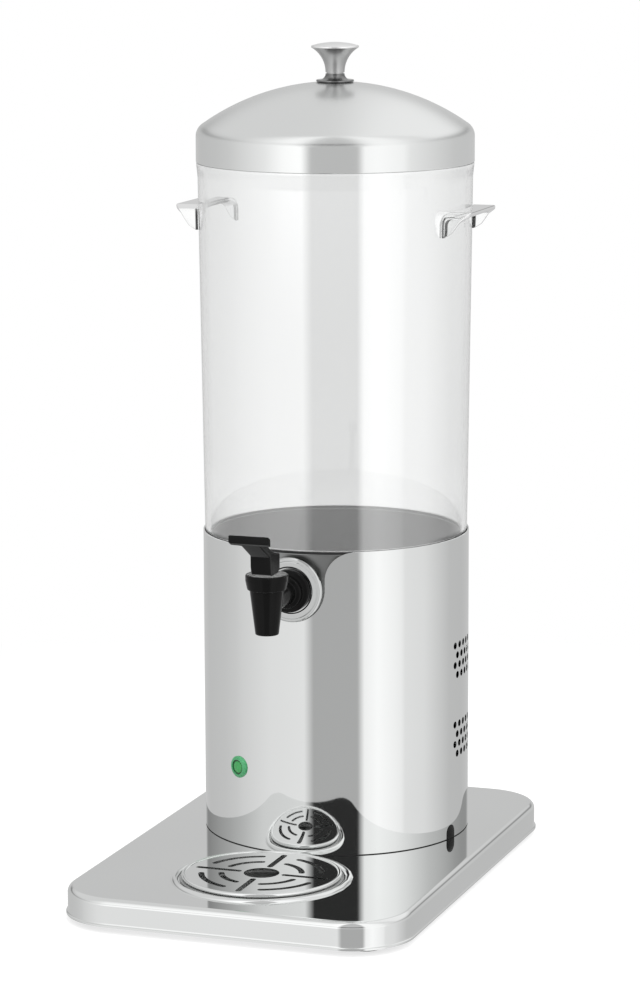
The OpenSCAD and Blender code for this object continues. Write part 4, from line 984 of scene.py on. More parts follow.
def housing_surface(housing):
    """Round shell: the unrolled wall with its notch and holes, wrapped on the outer and the inner radius and joined
    along every edge. Corners take the normals of the true cylinder, so reflections run smooth."""
    loops, foot_count, rim_count = housing_loops(housing)
    across, tall = np.meshgrid(np.linspace(0, GIRTH, WALL_COLUMNS + 1)[1:-1], WALL_LEVELS[1:-1])
    filling = np.column_stack([across.ravel(), tall.ravel()])
    points, faces, edges = pierced(loops, filling, WALL_MARGIN)
    upright = len(WALL_LEVELS)
    last = np.arange(upright) + foot_count
    first_from_top = np.arange(upright - 1) + foot_count + upright + rim_count
    same = np.arange(len(points))
    same[last[1:]] = first_from_top[::-1]
    same[last[0]] = 0
    on_seam = np.isin(edges, last).all(axis=1) | np.isin(edges, np.append(first_from_top, 0)).all(axis=1)
    faces, edges = same[faces], same[edges[~on_seam]]
    angle = points[:, 0] / HOUSING_RADIUS + SEAM
    out = np.column_stack([np.cos(angle), np.sin(angle), np.zeros(len(angle))])
    height = points[:, 1, None] * UP
    outer = AXIS + HOUSING_RADIUS * out + height
    inner = AXIS + (HOUSING_RADIUS - housing.sheet) * out + height
    shell, blocks = thick(outer, inner, faces, edges)
    one, two, three = (shell[blocks[2][:, i]] for i in range(3))
    flat = np.repeat(unit(np.cross(two - one, three - one)), 4, axis=0)
    normals = np.concatenate([out[faces].reshape(-1, 3), -out[faces[:, ::-1]].reshape(-1, 3), flat])
    return (shell, blocks), normals


def wall_axis(angle, height=0.0):
    """Point on the housing's wall and the direction straight out of it."""
    out = np.array([math.cos(angle), math.sin(angle), 0.0])
    return AXIS + HOUSING_RADIUS * out + height * UP, out


def clip_surface(housing, angle):
    """Clip in an arched notch: the notch's outline, a little smaller, carried along the radius from inside the wall
    to just proud of it. Its outer edge is drawn in to a round. Levels are pairs of height over the wall and inset."""
    half = housing.arch_width / 2 - 0.2 * MM
    foot = PLATE_TOP + 0.1 * MM
    spring = PLATE_TOP + housing.arch_height - housing.arch_width / 2
    sole_line = divided(np.array([(-half, foot), (half, foot)]), 1 * MM)
    loop = np.concatenate([sole_line, arc((0, spring), half, 0, 180, 16)])
    levels = np.array([(-3, 0), (-0.4, 0), (0, 0.05), (0.25, 0.2), (0.35, 0.5)]) * MM
    centre = np.array([0, (foot + spring) / 2])
    sections = centre + (1 - levels[:, 1, None, None] / half) * (loop - centre)
    sections[..., 1] = np.where(loop[:, 1] > foot, sections[..., 1], foot)
    _, out = wall_axis(angle)
    bulge = np.sqrt((HOUSING_RADIUS + levels[:, :1]) ** 2 - sections[..., 0] ** 2)
    side = np.cross(UP, out)
    return strip(AXIS + bulge[..., None] * out + sections[..., :1] * side + sections[..., 1:] * UP)


class DISPENSER_OT_housing(bpy.types.Operator):
    """Dresses the round housing with its clips"""

    bl_idname = "dispenser.housing"
    bl_label = "Housing"

    def execute(self, context):
        housing = context.scene.dispenser_housing
        shell, normals = housing_surface(housing)
        add_piece("polished_housing", [shell], "base", "polished_steel", ["housing_shell"], normals=normals)
        clips = [clip_surface(housing, angle) for angle in both_sides(-housing.arch_turn)]
        add_piece("arched_clips", clips, "base", "clip_black", ["base_clips"])
        return {"FINISHED"}


class DISPENSER_OT_pilot_lamp(bpy.types.Operator):
    """Makes the pilot lamp: a bevelled rim, a groove painted dark as shade and a domed lens, all turned"""

    bl_idname = "dispenser.pilot_lamp"
    bl_label = "Pilot lamp"

    def execute(self, context):
        foot, out = wall_axis(lamp_angle(context.scene.dispenser_housing), middle("lamp_lens")[2])
        radius = half_height("lamp_bezel")
        rear, collar, shaft, bore, lens_radius = np.array([-8, -1.2, 5.8, 4.7, 3.7]) * MM
        rim = rounded([
            (bore, rear), (shaft, rear), (shaft, collar), (radius, collar, 0.1 * MM), (radius, 0.7 * MM, 0.4 * MM),
            (radius - 1.1 * MM, 1.5 * MM, 0.5 * MM), (bore, 1.7 * MM, 0.3 * MM),
        ])
        wall, face, edge = bore - 0.01 * MM, 1.1 * MM, 0.2 * MM
        groove = rounded([
            (lens_radius, rear), (wall, rear), (wall, face, edge), (lens_radius, face, edge),
        ], closed=True)
        dome = 0.9 * MM
        ball, reach = crown_of(lens_radius, dome)
        lens = np.concatenate([
            [(0, rear), (lens_radius - 0.01 * MM, rear)],
            arc((0, 1.2 * MM + dome - ball), ball, 90 - reach, 90, 12),
        ])
        lens[-1, 0] = 0
        for name, profile, finish, replaced in (("lamp_rim", rim, "lamp_rim", ["lamp_bezel"]),
                                                ("lamp_groove", groove, "lamp_dark", []),
                                                ("lamp_dome", lens, "lamp_green", ["lamp_lens"])):
            add_piece(name, [turned(profile, foot, out, 72)], "base", finish, replaced)
        return {"FINISHED"}


class DISPENSER_OT_rear_fittings(bpy.types.Operator):
    """Dresses the switch and the cord inlet at the rear"""

    bl_idname = "dispenser.rear_fittings"
    bl_label = "Switch and cord inlet"

    def execute(self, context):
        foot, out = wall_axis(math.pi / 2, middle("cord_inlet")[2])
        bore, shaft, flange, rear, face, end = np.array([3.5, 6, 8, -12, 3, 8]) * MM
        gland = rounded([
            (bore, rear), (shaft, rear, 0.5 * MM), (shaft, 0), (flange, 0), (flange, face, 0.8 * MM),
            (7 * MM, face), (5.5 * MM, end, 0.6 * MM), (bore, end, 0.6 * MM),
        ])
        add_piece("cord_gland", [turned(gland, foot, out, 72)], "base", "black_plastic", ["cord_inlet"])
        finish_nodes("black_plastic", "switch_frame", "switch_rocker", "inlet_nut")
        return {"FINISHED"}


class DISPENSER_OT_cooling_unit(bpy.types.Operator):
    """Gives the cooling unit inside the housing its finishes"""

    bl_idname = "dispenser.cooling_unit"
    bl_label = "Cooling unit"

    def execute(self, context):
        finish_nodes("foam", "insulation_sleeve")
        finish_nodes("black_plastic", "support_deck", "fan_frame", "fan_rotor", "power_supply")
        finish_nodes("aluminium", "cold_plate", "heat_sink")
        finish_nodes("ceramic", "cooling_module")
        finish_nodes("plain_steel", "tie_rods")
        return {"FINISHED"}


# Tank

# Reach of a handle's outer edge, from the tube to the tip, by the height over its legs' feet
HANDLE_RISE, HANDLE_REACH = [0, 0.17, 0.63, 0.92, 1.0], [-0.4, 0.0, 0.47, 1.0, 1.0]


def cup_surface(tank):
    """Steel cup turned from its section: floor, round corner, wall and turned-out flange."""
    floor, rim = CUP_LOW[2], CUP_HIGH[2]
    sheet, edge = tank.cup_sheet, 0.2 * MM
    inner = (TUBE_LOW_RADIUS - tank.wall) - 0.7 * MM
    outer, flange = inner + sheet, TUBE_LOW_RADIUS
    profile = rounded([
        (0, floor + sheet), (inner, floor + sheet, tank.cup_corner), (inner, rim, 0.3 * MM), (flange, rim, edge),
        (flange, rim - sheet, edge), (outer, rim - sheet, edge), (outer, floor, tank.cup_corner + sheet), (0, floor),
    ], steps=10)
    return turned(profile, AXIS, steps=192)


def tube_flare(tank):
    """How much the tube's outer radius grows with the height."""
    return (TUBE_TOP_RADIUS - TUBE_LOW_RADIUS) / (TUBE_HIGH[2] - tank.neck - tank.band - TUBE_LOW[2])


def tube_radius(height, tank):
    """Outer radius of the tube's cone at a height."""
    return TUBE_LOW_RADIUS + (height - TUBE_LOW[2]) * tube_flare(tank)


def tube_surface(tank):
    """Clear tube turned from its section: flared wall, a band that swells under the lid and a stepped-in neck."""
    foot, top = TUBE_LOW[2], TUBE_HIGH[2]
    shelf = top - tank.neck
    neck = BAND_RADIUS - 1.3 * MM
    crisp, soft, lip = 0.15 * MM, 0.4 * MM, 0.8 * MM
    profile = rounded([
        (TUBE_LOW_RADIUS - tank.wall, foot, soft), (TUBE_LOW_RADIUS, foot, crisp),
        (TUBE_TOP_RADIUS, shelf - tank.band, 40 * MM), (BAND_RADIUS, shelf - 1.5 * MM, 10 * MM),
        (BAND_RADIUS, shelf, crisp), (neck, shelf, soft), (neck, top, lip), (neck - tank.wall, top, lip),
    ], closed=True)
    return turned(profile, AXIS, steps=240)


def handle_surface(tank, side):
    """Handle as a strip of round-edged section carried along an inverted U. Its inner edge follows the tube, and its
    outer edge runs out to the tip at the top and back to the tube at the feet of its legs."""
    low, high = corners("handle_right")
    half_wall = tank.handle_wall / 2
    half = (high[1] - low[1]) / 2 - half_wall
    top = high[2] - low[2] - half_wall
    corner = tank.handle_corner - half_wall
    path = rounded([(-half, 0), (-half, top, corner), (half, top, corner), (half, 0)], steps=12)
    legs = np.linspace(0, 1, 12)[:-1, None]
    path = np.concatenate([path[:1] + legs * (path[1] - path[0]), path[1:-1],
                           path[-2] + (1 - legs[::-1]) * (path[-1] - path[-2])])
    _, normal = sides_of(path)
    z = low[2] + path[:, 1]
    reach = np.interp(path[:, 1] / (high[2] - low[2]), HANDLE_RISE, HANDLE_REACH)
    root = np.sqrt(tube_radius(z, tank) ** 2 - path[:, 0] ** 2) - 0.02 * MM
    tip = TUBE_TOP_RADIUS + reach * (high[0] - TUBE_TOP_RADIUS)
    edge = 0.9 * MM
    section = []
    for start, x, over in ((0, tip - edge, 1), (90, root + edge, 1), (180, root + edge, -1), (270, tip - edge, -1)):
        angle = np.radians(np.linspace(start, start + 90, 5))
        level = over * (half_wall - edge) + edge * np.sin(angle)
        across = path[:, 0, None] + level * normal[:, 0, None] + AXIS[1]
        height = z[:, None] + level * normal[:, 1, None]
        section.append(np.stack([side * (x[:, None] + edge * np.cos(angle)), across, height], axis=-1))
    return strip(np.concatenate(section, axis=1), flip=side < 0)


class DISPENSER_OT_tank(bpy.types.Operator):
    """Makes the clear tube, the steel cup under it and the two handles"""

    bl_idname = "dispenser.tank"
    bl_label = "Tank and handles"

    def execute(self, context):
        tank = context.scene.dispenser_tank
        add_piece("steel_cup", [cup_surface(tank)], "tank", "dark_steel", ["tank_cup"])
        add_piece("clear_tube", [tube_surface(tank)], "tank", "clear_plastic", ["tank_tube"])
        for side, name in ((-1, "left"), (1, "right")):
            add_piece(f"clear_handle_{name}", [handle_surface(tank, side)], "tank", "clear_handle",
                      [f"handle_{name}"])
        finish_nodes("black_rubber", "cup_seal")
        return {"FINISHED"}


# Lid and knob

def lid_surface(tank):
    """Lid turned from its section: skirt, round shoulder and shallow dome, outside and inside."""
    radius, foot = half_width("lid_dome"), LID_LOW[2]
    shoulder, dome, sheet = tank.lid_shoulder, tank.lid_dome, tank.lid_sheet
    edge, guard = foot + 0.3 * MM, 0.5 * MM
    centre = np.array([radius - shoulder, foot + tank.lid_skirt])
    dome_z = centre[1] - math.sqrt((dome - shoulder) ** 2 - centre[0] ** 2)
    lean = math.degrees(math.atan2(centre[1] - dome_z, centre[0]))
    profile = np.concatenate([
        arc((0, dome_z), dome - sheet, 90, lean, 24), arc(centre, shoulder - sheet, lean, 0, 8)[1:],
        [(radius - sheet, foot + guard), (radius - sheet, edge), (radius - 0.7 * sheet, foot),
         (radius - 0.3 * sheet, foot), (radius, edge), (radius, foot + guard), (radius, centre[1] - guard)],
        arc(centre, shoulder, 0, lean, 14), arc((0, dome_z), dome, lean, 90, 48)[1:],
    ])
    profile[[0, -1], 0] = 0
    return turned(profile, AXIS, steps=240)


def knob_surfaces():
    """Knob in two turned pieces: a flared foot on the dome, and a trumpet-shaped grip with a crowned top."""
    foot_radius, top_radius = half_width("knob_foot"), half_width("knob_top")
    foot_low, foot_high = (corner[2] for corner in corners("knob_foot"))
    top_low, top_high = (corner[2] for corner in corners("knob_top"))
    neck, bevel = 6 * MM, 0.4 * MM
    base = foot_low + 0.3 * MM
    edge = LID_HIGH[2] + 1.2 * MM
    flare = min(foot_radius - neck - 1 * MM, foot_high - edge)
    foot = np.concatenate([
        [(0, base), (foot_radius - bevel, base), (foot_radius, base + bevel)],
        rounded([(foot_radius, base + bevel), (foot_radius, edge, 0.5 * MM), (neck + flare, edge)])[1:],
        arc((neck + flare, edge + flare), flare, 270, 180, 12)[1:],
        [(0, edge + flare)],
    ])
    rim, crown, groove = 1 * MM, 2.2 * MM, 0.7 * MM
    brim = top_high - crown
    sweep = 1.2 * top_radius
    across = neck + sweep - top_radius
    bend = top_high - rim - crown - math.sqrt(sweep ** 2 - across ** 2)
    dome, reach = crown_of(top_radius, crown)
    lean = math.degrees(math.acos(across / sweep))
    start = math.degrees(math.asin(max(0.0, top_low + groove - bend) / sweep))
    top = np.concatenate([
        [(0, top_low), (neck - groove, top_low), (neck - groove, top_low + groove),
         (neck - 0.15 * MM, top_low + groove)],
        arc((neck + sweep, bend), sweep, 180 - start, 180 - lean, 16),
        rounded([(top_radius - 0.2 * MM, brim - rim), (top_radius, brim - rim, 0.3 * MM),
                 (top_radius, brim, 0.6 * MM), (top_radius - 3 * MM, top_high - 0.62 * crown)])[1:-1],
        arc((0, top_high - dome), dome, 90 - 0.82 * reach, 90, 10),
    ])
    top[-1, 0] = 0
    return [turned(profile, AXIS, steps=96) for profile in (foot, top)]


class DISPENSER_OT_lid(bpy.types.Operator):
    """Makes the domed lid and its knob"""

    bl_idname = "dispenser.lid"
    bl_label = "Lid and knob"

    def execute(self, context):
        lid = lid_surface(context.scene.dispenser_tank)
        add_piece("domed_lid", [lid], "lid", "soft_polish", ["lid_dome"])
        foot, top = knob_surfaces()
        add_piece("knob_base", [foot], "lid", "knob_shade", ["knob_foot"])
        add_piece("knob_grip", [top], "lid", "knob_chrome", ["knob_top"])
        finish_nodes("plain_steel", "knob_screw")
        return {"FINISHED"}


# Tap

def along_front(node):
    """Distances of a node's rear and front face from the plane through the origin, measured towards the front."""
    low, high = corners(node)
    return -high[1], -low[1]


def seat_ring_surface():
    """Polished ring turned about the shank: a rounded outer step, a groove and a dished inner band."""
    radius = half_width("tap_seat_ring")
    rear, face = along_front("tap_seat_ring")
    step, dish, soft = 0.8 * MM, 0.5 * MM, 0.4 * MM
    profile = rounded([
        (SHANK_BORE, rear + 4 * MM), (radius, rear + 8 * MM), (radius, face - 2 * step, 0.5 * MM),
        (radius - 1.2 * step, face - step, soft), (radius - 2.6 * step, face - step, 0.2 * MM),
        (radius - 3.2 * step, face, soft), (radius - 5.5 * MM, face, 0.8 * MM),
        (radius - 6.2 * MM, face - dish, soft), (SHANK_BORE, face - dish),
    ])
    return turned(profile, SHANK, FRONT, 128)


def collar_surface(tap):
    """Black collar: a disc with a rounded front edge."""
    rear, face = along_front("tap_collar")
    profile = rounded([
        (SHANK_BORE, rear), (tap.collar, rear, 0.3 * MM), (tap.collar, face - 0.6 * MM, 1.1 * MM),
        (tap.collar - 2.4 * MM, face, 0.8 * MM), (SHANK_BORE, face),
    ])
    return turned(profile, SHANK, FRONT, 96)


def body_surface(tap):
    """Tap body: the tapered nozzle turned about the upright axis, and the shank with its hub turned about the
    shank's axis."""
    bore, roof, top = tap.mouth - 1.4 * MM, -8 * MM, 16 * MM
    throat = tap.nozzle - 0.4 * MM
    nozzle = rounded([
        (0, roof), (bore, roof), (bore, -tap.nozzle_drop, 0.4 * MM), (tap.mouth, -tap.nozzle_drop, 0.8 * MM),
        (tap.nozzle, tap.nozzle_top, 0.5 * MM), (throat, tap.nozzle_top), (throat, top), (0, top),
    ])
    rear, end = along_front("tap_body")[0], -TAP[1]
    hub = along_front("tap_collar")[1]
    hub_rear = hub + 0.02 * MM
    shank = rounded([
        (0, rear), (tap.shank, rear, 0.6 * MM), (tap.shank, hub_rear), (tap.hub, hub_rear, 0.2 * MM),
        (tap.hub, hub + 4.2 * MM, 1.2 * MM), (tap.shank, hub + 5 * MM, 0.8 * MM), (tap.shank, end), (0, end),
    ])
    return [turned(nozzle, TAP, UP, 96), turned(shank, SHANK, FRONT, 96)]


def bonnet_surface(tap):
    """Bonnet turned about the stem: nearly straight band with a step at its foot, round upper edge and a flat top."""
    foot = tap.nozzle_top + 0.3 * MM
    tall = tap.bonnet_top - foot
    skirt, room, bore = tap.bonnet - 0.9 * MM, tap.nozzle - 0.3 * MM, 2.3 * MM
    roof = foot + 6 * MM
    profile = rounded([
        (bore, roof), (room, roof), (room, foot), (skirt - 0.3 * MM, foot, 0.3 * MM),
        (skirt, foot + tall * 0.12, 0.6 * MM), (tap.bonnet, foot + tall * 0.6, 3 * MM),
        (tap.bonnet, tap.bonnet_top, 1.1 * MM), (bore, tap.bonnet_top, 0.2 * MM),
    ])
    return turned(profile, TAP, UP, 96)


def spring_surface():
    """Coil spring: a round wire carried along a helix, whose first and last turn lie close."""
    low, high = corners("tap_spring")
    wire, free_turns = 0.5 * MM, 3
    reach = half_width("tap_spring") - wire
    height = high[2] - low[2] - 2 * wire
    turns = np.linspace(0, free_turns + 2, 36 * (free_turns + 2) + 1)
    angle = 2 * math.pi * turns
    outward = np.stack([np.cos(angle), np.sin(angle), np.zeros_like(angle)], axis=-1)
    path = outward * reach
    path[:, 2] = np.interp(turns, [0, 1, free_turns + 1, free_turns + 2], [0, 2 * wire, height - 2 * wire, height])
    across = np.cross(unit(np.gradient(path, axis=0)), outward)
    around = np.linspace(0, 2 * math.pi, 13)[:-1, None]
    points = path[:, None] + wire * (np.cos(around) * outward[:, None] + np.sin(around) * across[:, None])
    return strip(points + (on_floor(TAP) + (0, 0, low[2] + wire)))


def sole(tap, tilt, lift, travel):
    """Sole of the lever: the curve whose lowest point stays level while the stem rises in step with the tilt."""
    rate = lift / travel
    reach = tap.heel + rate * tilt
    y = -reach * np.sin(tilt) - rate * np.cos(tilt)
    return np.stack([y, -reach * np.cos(tilt) + rate * np.sin(tilt)], axis=-1)


def lever_surface(tap):
    """Lever: beams of round-edged section. The front one widens and rises from the toe to the paddle, and two arms
    and a bridge form the fork over the stem. Heights and distances are measured from the pin."""
    low, high = corners("tap_lever") - PIN
    wide, fork, slot = half_width("tap_lever"), tap.fork / 2, 2.9 * MM
    reach, rear, tip_top = -low[1], high[1], high[2]
    tilt_joint = next(joint for joint in frame["joints"] if joint["name"] == "lever_tilt")
    travel = math.radians(tilt_joint["range_deg"][1])
    clearance = 0.06 * MM
    heel = (sole(tap, np.linspace(0, travel, 12), STEM_LIFT, travel) + (0, clearance))[::-1]
    rest_z = clearance - tap.heel
    crest_y, crest_z, rear_top = -5 * MM, 7.8 * MM, 5 * MM
    slope = (tip_top - crest_z) / (reach + crest_y)
    toe_y, toe_z = heel[0] + (-1.2 * MM, 4 * MM)
    toe_top = tip_top - 1.2 * tap.paddle - (reach + toe_y) * slope
    slot_y, stem_y = -7 * MM, -3 * MM
    heel_rise = 3 * MM
    edge = 0.9 * MM

    def top(y):
        behind = np.interp(y, [crest_y, rear], [crest_z, rear_top])
        return np.where(y < crest_y, crest_z + (crest_y - y) * slope, behind)

    sole_y = np.concatenate([[toe_y], heel[:, 0], [rear - heel_rise, rear]])
    sole_z = np.concatenate([[toe_z], heel[:, 1], [rest_z, rest_z + heel_rise]])
    paddle_y = np.array([1, 3, 3.2, 3.4, 3.8, 4, 4.2]) * MM - reach
    front_y = np.concatenate([paddle_y, [toe_y - 0.05 * MM, toe_y + 0.05 * MM], heel[:, 0], [slot_y]])
    front_y = np.sort(front_y[front_y <= slot_y])
    under = np.interp(front_y, [-reach, toe_y - 0.01 * MM], [tip_top - tap.paddle, toe_top])
    low_z = np.where(front_y < toe_y, under, np.interp(front_y, sole_y, sole_z))
    half = np.interp(front_y, paddle_y[[2, 5]], [wide, fork])
    beams = [beam(front_y, low_z, top(front_y), -half, half, edge)]
    arm_y = np.concatenate([[slot_y - 1 * MM], heel[heel[:, 0] > slot_y][:, 0],
                            [stem_y, 2.6 * MM, rear - heel_rise, rear - 2 * MM, rear - edge]])
    for left, right in ((-fork, -slot), (slot, fork)):
        beams.append(beam(arm_y, np.interp(arm_y, sole_y, sole_z), top(arm_y), left, right, edge))
    bridge_y = np.array([slot_y - 2 * MM, stem_y, rear - 2 * MM, rear - 1.2 * MM])
    bridge = fork - 1 * MM
    beams.append(beam(bridge_y, 4.0 * MM, top(bridge_y) - 0.02 * MM, -bridge, bridge, 0.5 * MM))
    return [(points + PIN, blocks) for points, blocks in beams]


class DISPENSER_OT_tap(bpy.types.Operator):
    """Makes the tap: seat ring, collar, body, spring, bonnet and lever"""

    bl_idname = "dispenser.tap"
    bl_label = "Tap"

    def execute(self, context):
        tap = context.scene.dispenser_tap
        add_piece("stepped_seat_ring", [seat_ring_surface()], "tank", "ring_steel", ["tap_seat_ring"])
        add_piece("black_collar", [collar_surface(tap)], "tank", "tap_black", ["tap_collar"])
        spring = add_piece("coil_spring", [spring_surface()], "tank", "plain_steel", ["tap_spring"])
        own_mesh(spring)
        # The photograph has no image of the tap in the tube
        unmirrored = [
            spring,
            add_piece("nozzle_and_shank", body_surface(tap), "tank", "tap_black", ["tap_body"]),
            add_piece("black_bonnet", [bonnet_surface(tap)], "tank", "tap_black", ["tap_bonnet"]),
            add_piece("paddle_lever", lever_surface(tap), "lever", "lever_black", ["tap_lever"]),
            *(frame["nodes"][name] for name in ("valve_stem", "lever_pin", "valve_seat_cup")),
        ]
        for piece in unmirrored:
            piece.visible_glossy = False
        finish_nodes("tap_black", "valve_stem", "tap_nut")
        finish_nodes("soft_white", "valve_seat_cup", "tap_gasket")
        finish_nodes("plain_steel", "lever_pin")
        return {"FINISHED"}


# Stage

# Brightness of the room's panels well below the horizon, near it and above it, by the angle from the camera in
# degrees, to the right seen from there
PANELS_LOW = (
    (-180, 0.60), (-145, 0.56), (-115, 0.60), (-98, 0.65), (-90, 0.70), (-60, 0.82), (-28, 0.86), (-20, 0.45),
    (18, 0.45), (24, 1.00), (36, 1.10), (52, 1.00), (58, 0.95), (62, 0.84), (82, 0.80), (98, 0.68), (116, 0.56),
    (140, 0.54), (180, 0.60),
)
PANELS_LEVEL = (
    (-180, 0.60), (-145, 0.56), (-115, 0.60), (-98, 0.65), (-90, 0.70), (-60, 0.90), (-44, 1.12), (-28, 1.20),
    (-20, 0.56), (18, 0.56), (24, 1.08), (36, 1.10), (58, 1.02), (64, 0.88), (82, 0.78), (98, 0.70), (116, 0.62),
    (140, 0.60), (180, 0.60),
)
PANELS_HIGH = (
    (-180, 0.60), (-170, 0.58), (-158, 0.29), (-150, 0.29), (-133, 0.35), (-108, 0.46), (-90, 0.57), (-67, 0.77),
    (-28, 0.86), (-20, 0.03), (18, 0.03), (24, 1.00), (36, 1.10), (52, 1.00), (70, 0.80), (88, 0.62), (127, 0.39),
    (142, 0.34), (158, 0.33), (170, 0.58), (180, 0.60),
)
PEAK = 1.20
CEILING, CEILING_STEP = 0.72, 0.21
# Where the bands of height and the ceiling begin and end, as parts of a unit direction
LEVEL_FROM, HIGH_FROM, HIGH_TO = (-0.17, -0.09), (0.17, 0.22), (0.30, 0.35)
CEILING_FROM, CEILING_AHEAD, CEILING_RIGHT = (0.30, 0.55), (-0.15, 0.15), (-0.02, 0.24)

FLOOR_GREYS, FLOOR_GLOW, FLOOR_DEPTH = (0.50, 0.52), 0.66, 2 * MM
FLOOR_FADE, FLOOR_WHITE = 0.3, 0.8  # distance from the middle where it starts, and part of the radius where it ends
LAMPS = {"overhead_lamp": ((0.3, -0.2, 1.9), 1.6, 14), "front_lamp": ((1.1, -1.7, 1.2), 0.8, 10)}
LAMP_AIM = Vector((0, 0, 0.25))


def build_world(stage):
    """Room of soft panels: brightness by angle round the object, in three bands of height, with a dark gap behind
    the camera in the upper one, and a ceiling over the rear that grows brighter to the right. The camera and rays
    through clear plastic see plain white."""
    world = bpy.data.worlds.new("studio")
    bpy.context.scene.world = world
    world.use_nodes = True
    graph = Graph(world.node_tree)
    where = graph.node("ShaderNodeTexCoord", out="Generated")
    x, y, z = (graph.node("ShaderNodeSeparateXYZ", {}, {0: where}, out=axis) for axis in "XYZ")
    place = np.array(stage.camera_place) - AXIS
    heading = math.atan2(place[0], -place[1])
    ahead = x * math.sin(heading) - y * math.cos(heading)
    right = x * math.cos(heading) + y * math.sin(heading)
    angle = right.math("ARCTAN2", right, ahead) / (2 * math.pi) + 0.5
    low, level, high = (
        graph.node("ShaderNodeValToRGB",
                   {"stops": [((degrees + 180) / 360, grey / PEAK) for degrees, grey in panels]}, {"Fac": angle})
        for panels in (PANELS_LOW, PANELS_LEVEL, PANELS_HIGH))
    near = z.ramp(*LEVEL_FROM)
    rise = z.ramp(*HIGH_FROM) * (1 - z.ramp(*HIGH_TO))
    over = z.ramp(*CEILING_FROM) * (1 - ahead.ramp(*CEILING_AHEAD))
    room = (low * (1 - near) + level * near) * (1 - rise) + high * rise
    room = room * (PEAK * stage.room)
    room = room * (1 - over) + over * (right.ramp(*CEILING_RIGHT) * CEILING_STEP + CEILING)
    direct, through = (graph.node("ShaderNodeLightPath", out=f"Is {ray} Ray") for ray in ("Camera", "Transmission"))
    seen = (direct + through).least(1.0)
    strength = room * (1 - seen) + seen
    lit = graph.node("ShaderNodeBackground", {}, {"Color": (1.0, 1.0, 1.0, 1.0), "Strength": strength})
    graph.node("ShaderNodeOutputWorld", {}, {"Surface": lit})


def build_floor(stage):
    """Pale round floor that keeps the object's shadow and fades to the white background towards its edge."""
    paint = Paint("pale_floor")
    radius = stage.floor_radius
    fade = paint.distance(paint.place()).ramp(FLOOR_FADE, FLOOR_WHITE * radius)
    colour = paint.blend(paint.noise(30.0), (1.0, 1.0, 1.0), *FLOOR_GREYS)
    diffuse = paint.node("ShaderNodeBsdfDiffuse", {}, {"Color": colour})
    seen = paint.node("ShaderNodeLightPath", out="Is Camera Ray")
    glow, white = (paint.node("ShaderNodeEmission", {}, {"Strength": power}) for power in (seen * FLOOR_GLOW, 1.0))
    lit = paint.node("ShaderNodeAddShader", {}, {0: diffuse, 1: glow})
    material = paint.surface(paint.node("ShaderNodeMixShader", {}, {0: fade, 1: lit, 2: white}))
    profile = [(0, -FLOOR_DEPTH), (radius, -FLOOR_DEPTH), (radius, 0), (0, 0)]
    mesh = make_mesh("pale_floor", [turned(profile, np.zeros(3), steps=96)])
    mesh.materials.append(material)
    floor = bpy.data.objects.new("pale_floor", mesh)
    bpy.context.scene.collection.objects.link(floor)
    floor.visible_glossy = False


def build_lamp(name, place, size, power):
    """Soft square lamp aimed at the middle of the object, not seen in reflections."""
    data = bpy.data.lights.new(name, "AREA")
    data.size = size
    data.energy = power
    lamp = bpy.data.objects.new(name, data)
    lamp.location = place
    lamp.rotation_euler = (LAMP_AIM - Vector(place)).to_track_quat("-Z", "Y").to_euler()
    lamp.visible_glossy = False
    lamp.visible_transmission = False
    bpy.context.scene.collection.objects.link(lamp)


def build_camera(stage):
    """Camera at the photograph's place: it looks along the aim, turned by the roll."""
    data = bpy.data.cameras.new("camera")
    data.lens = stage.focal
    data.sensor_width = 36
    data.clip_start, data.clip_end = 0.05, 20
    camera = bpy.data.objects.new("camera", data)
    aim = Vector(stage.camera_aim).to_track_quat("-Z", "Y").to_matrix().to_4x4()
    camera.matrix_world = Matrix.Translation(stage.camera_place) @ aim @ Matrix.Rotation(stage.camera_roll, 4, "Z")
    bpy.context.scene.collection.objects.link(camera)
    bpy.context.scene.camera = camera


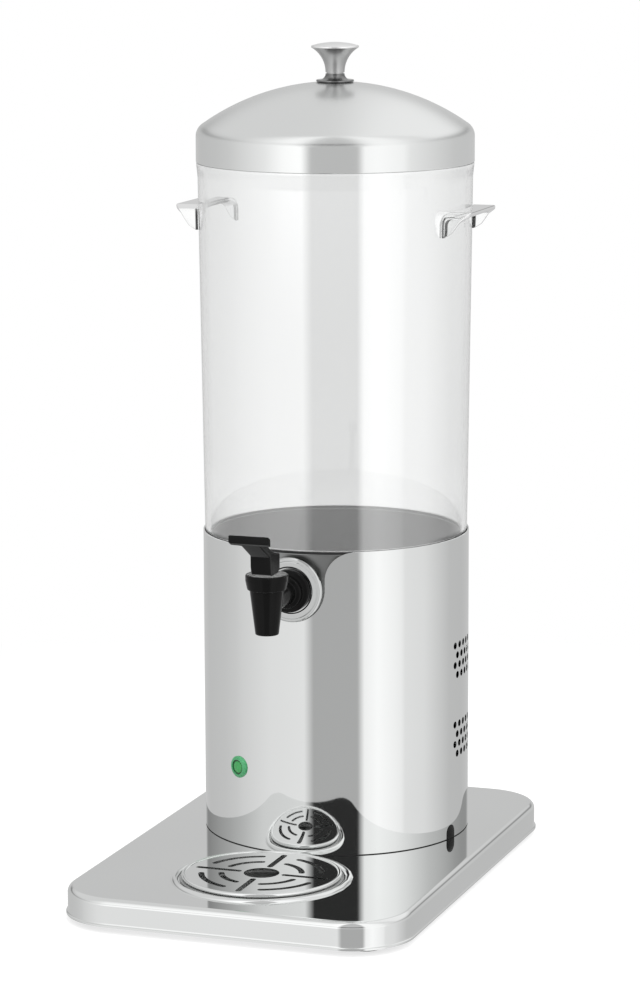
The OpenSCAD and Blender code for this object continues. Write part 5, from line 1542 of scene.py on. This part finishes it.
class DISPENSER_OT_stage(bpy.types.Operator):
    """Sets up the room, the floor, the lamps and the camera"""

    bl_idname = "dispenser.stage"
    bl_label = "Stage"

    def execute(self, context):
        stage = context.scene.dispenser_stage
        build_world(stage)
        build_floor(stage)
        for name, values in LAMPS.items():
            build_lamp(name, *values)
        build_camera(stage)
        context.scene.view_settings.view_transform = "Standard"
        return {"FINISHED"}


# Add-on

STEPS = (
    DISPENSER_OT_stage, DISPENSER_OT_base, DISPENSER_OT_drip_tray, DISPENSER_OT_housing, DISPENSER_OT_pilot_lamp,
    DISPENSER_OT_rear_fittings, DISPENSER_OT_cooling_unit, DISPENSER_OT_tank, DISPENSER_OT_lid, DISPENSER_OT_tap,
)
GROUPS = {
    "dispenser_base": DispenserBase,
    "dispenser_housing": DispenserHousing,
    "dispenser_tank": DispenserTank,
    "dispenser_tap": DispenserTap,
    "dispenser_colours": DispenserColours,
    "dispenser_stage": DispenserStage,
}


class DISPENSER_PT_panel(bpy.types.Panel):
    """Lists the steps that dress the dispenser"""

    bl_idname = "DISPENSER_PT_panel"
    bl_label = "Drink dispenser"
    bl_space_type = "VIEW_3D"
    bl_region_type = "UI"
    bl_category = "Dispenser"

    def draw(self, context):
        for step in STEPS:
            self.layout.operator(step.bl_idname, text=step.bl_label)


def register():
    """Registers the property groups, the operators and the panel."""
    for name, group in GROUPS.items():
        bpy.utils.register_class(group)
        setattr(bpy.types.Scene, name, PointerProperty(type=group))
    for step in (*STEPS, DISPENSER_PT_panel):
        bpy.utils.register_class(step)


def unregister():
    """Takes back what register has added."""
    for step in (DISPENSER_PT_panel, *reversed(STEPS)):
        bpy.utils.unregister_class(step)
    for name, group in reversed(GROUPS.items()):
        delattr(bpy.types.Scene, name)
        bpy.utils.unregister_class(group)


def main():
    """Dresses the whole dispenser."""
    register()
    for step in STEPS:
        group, name = step.bl_idname.split(".")
        getattr(getattr(bpy.ops, group), name)()
    bpy.context.view_layer.update()


if __name__ == "__main__":
    main()
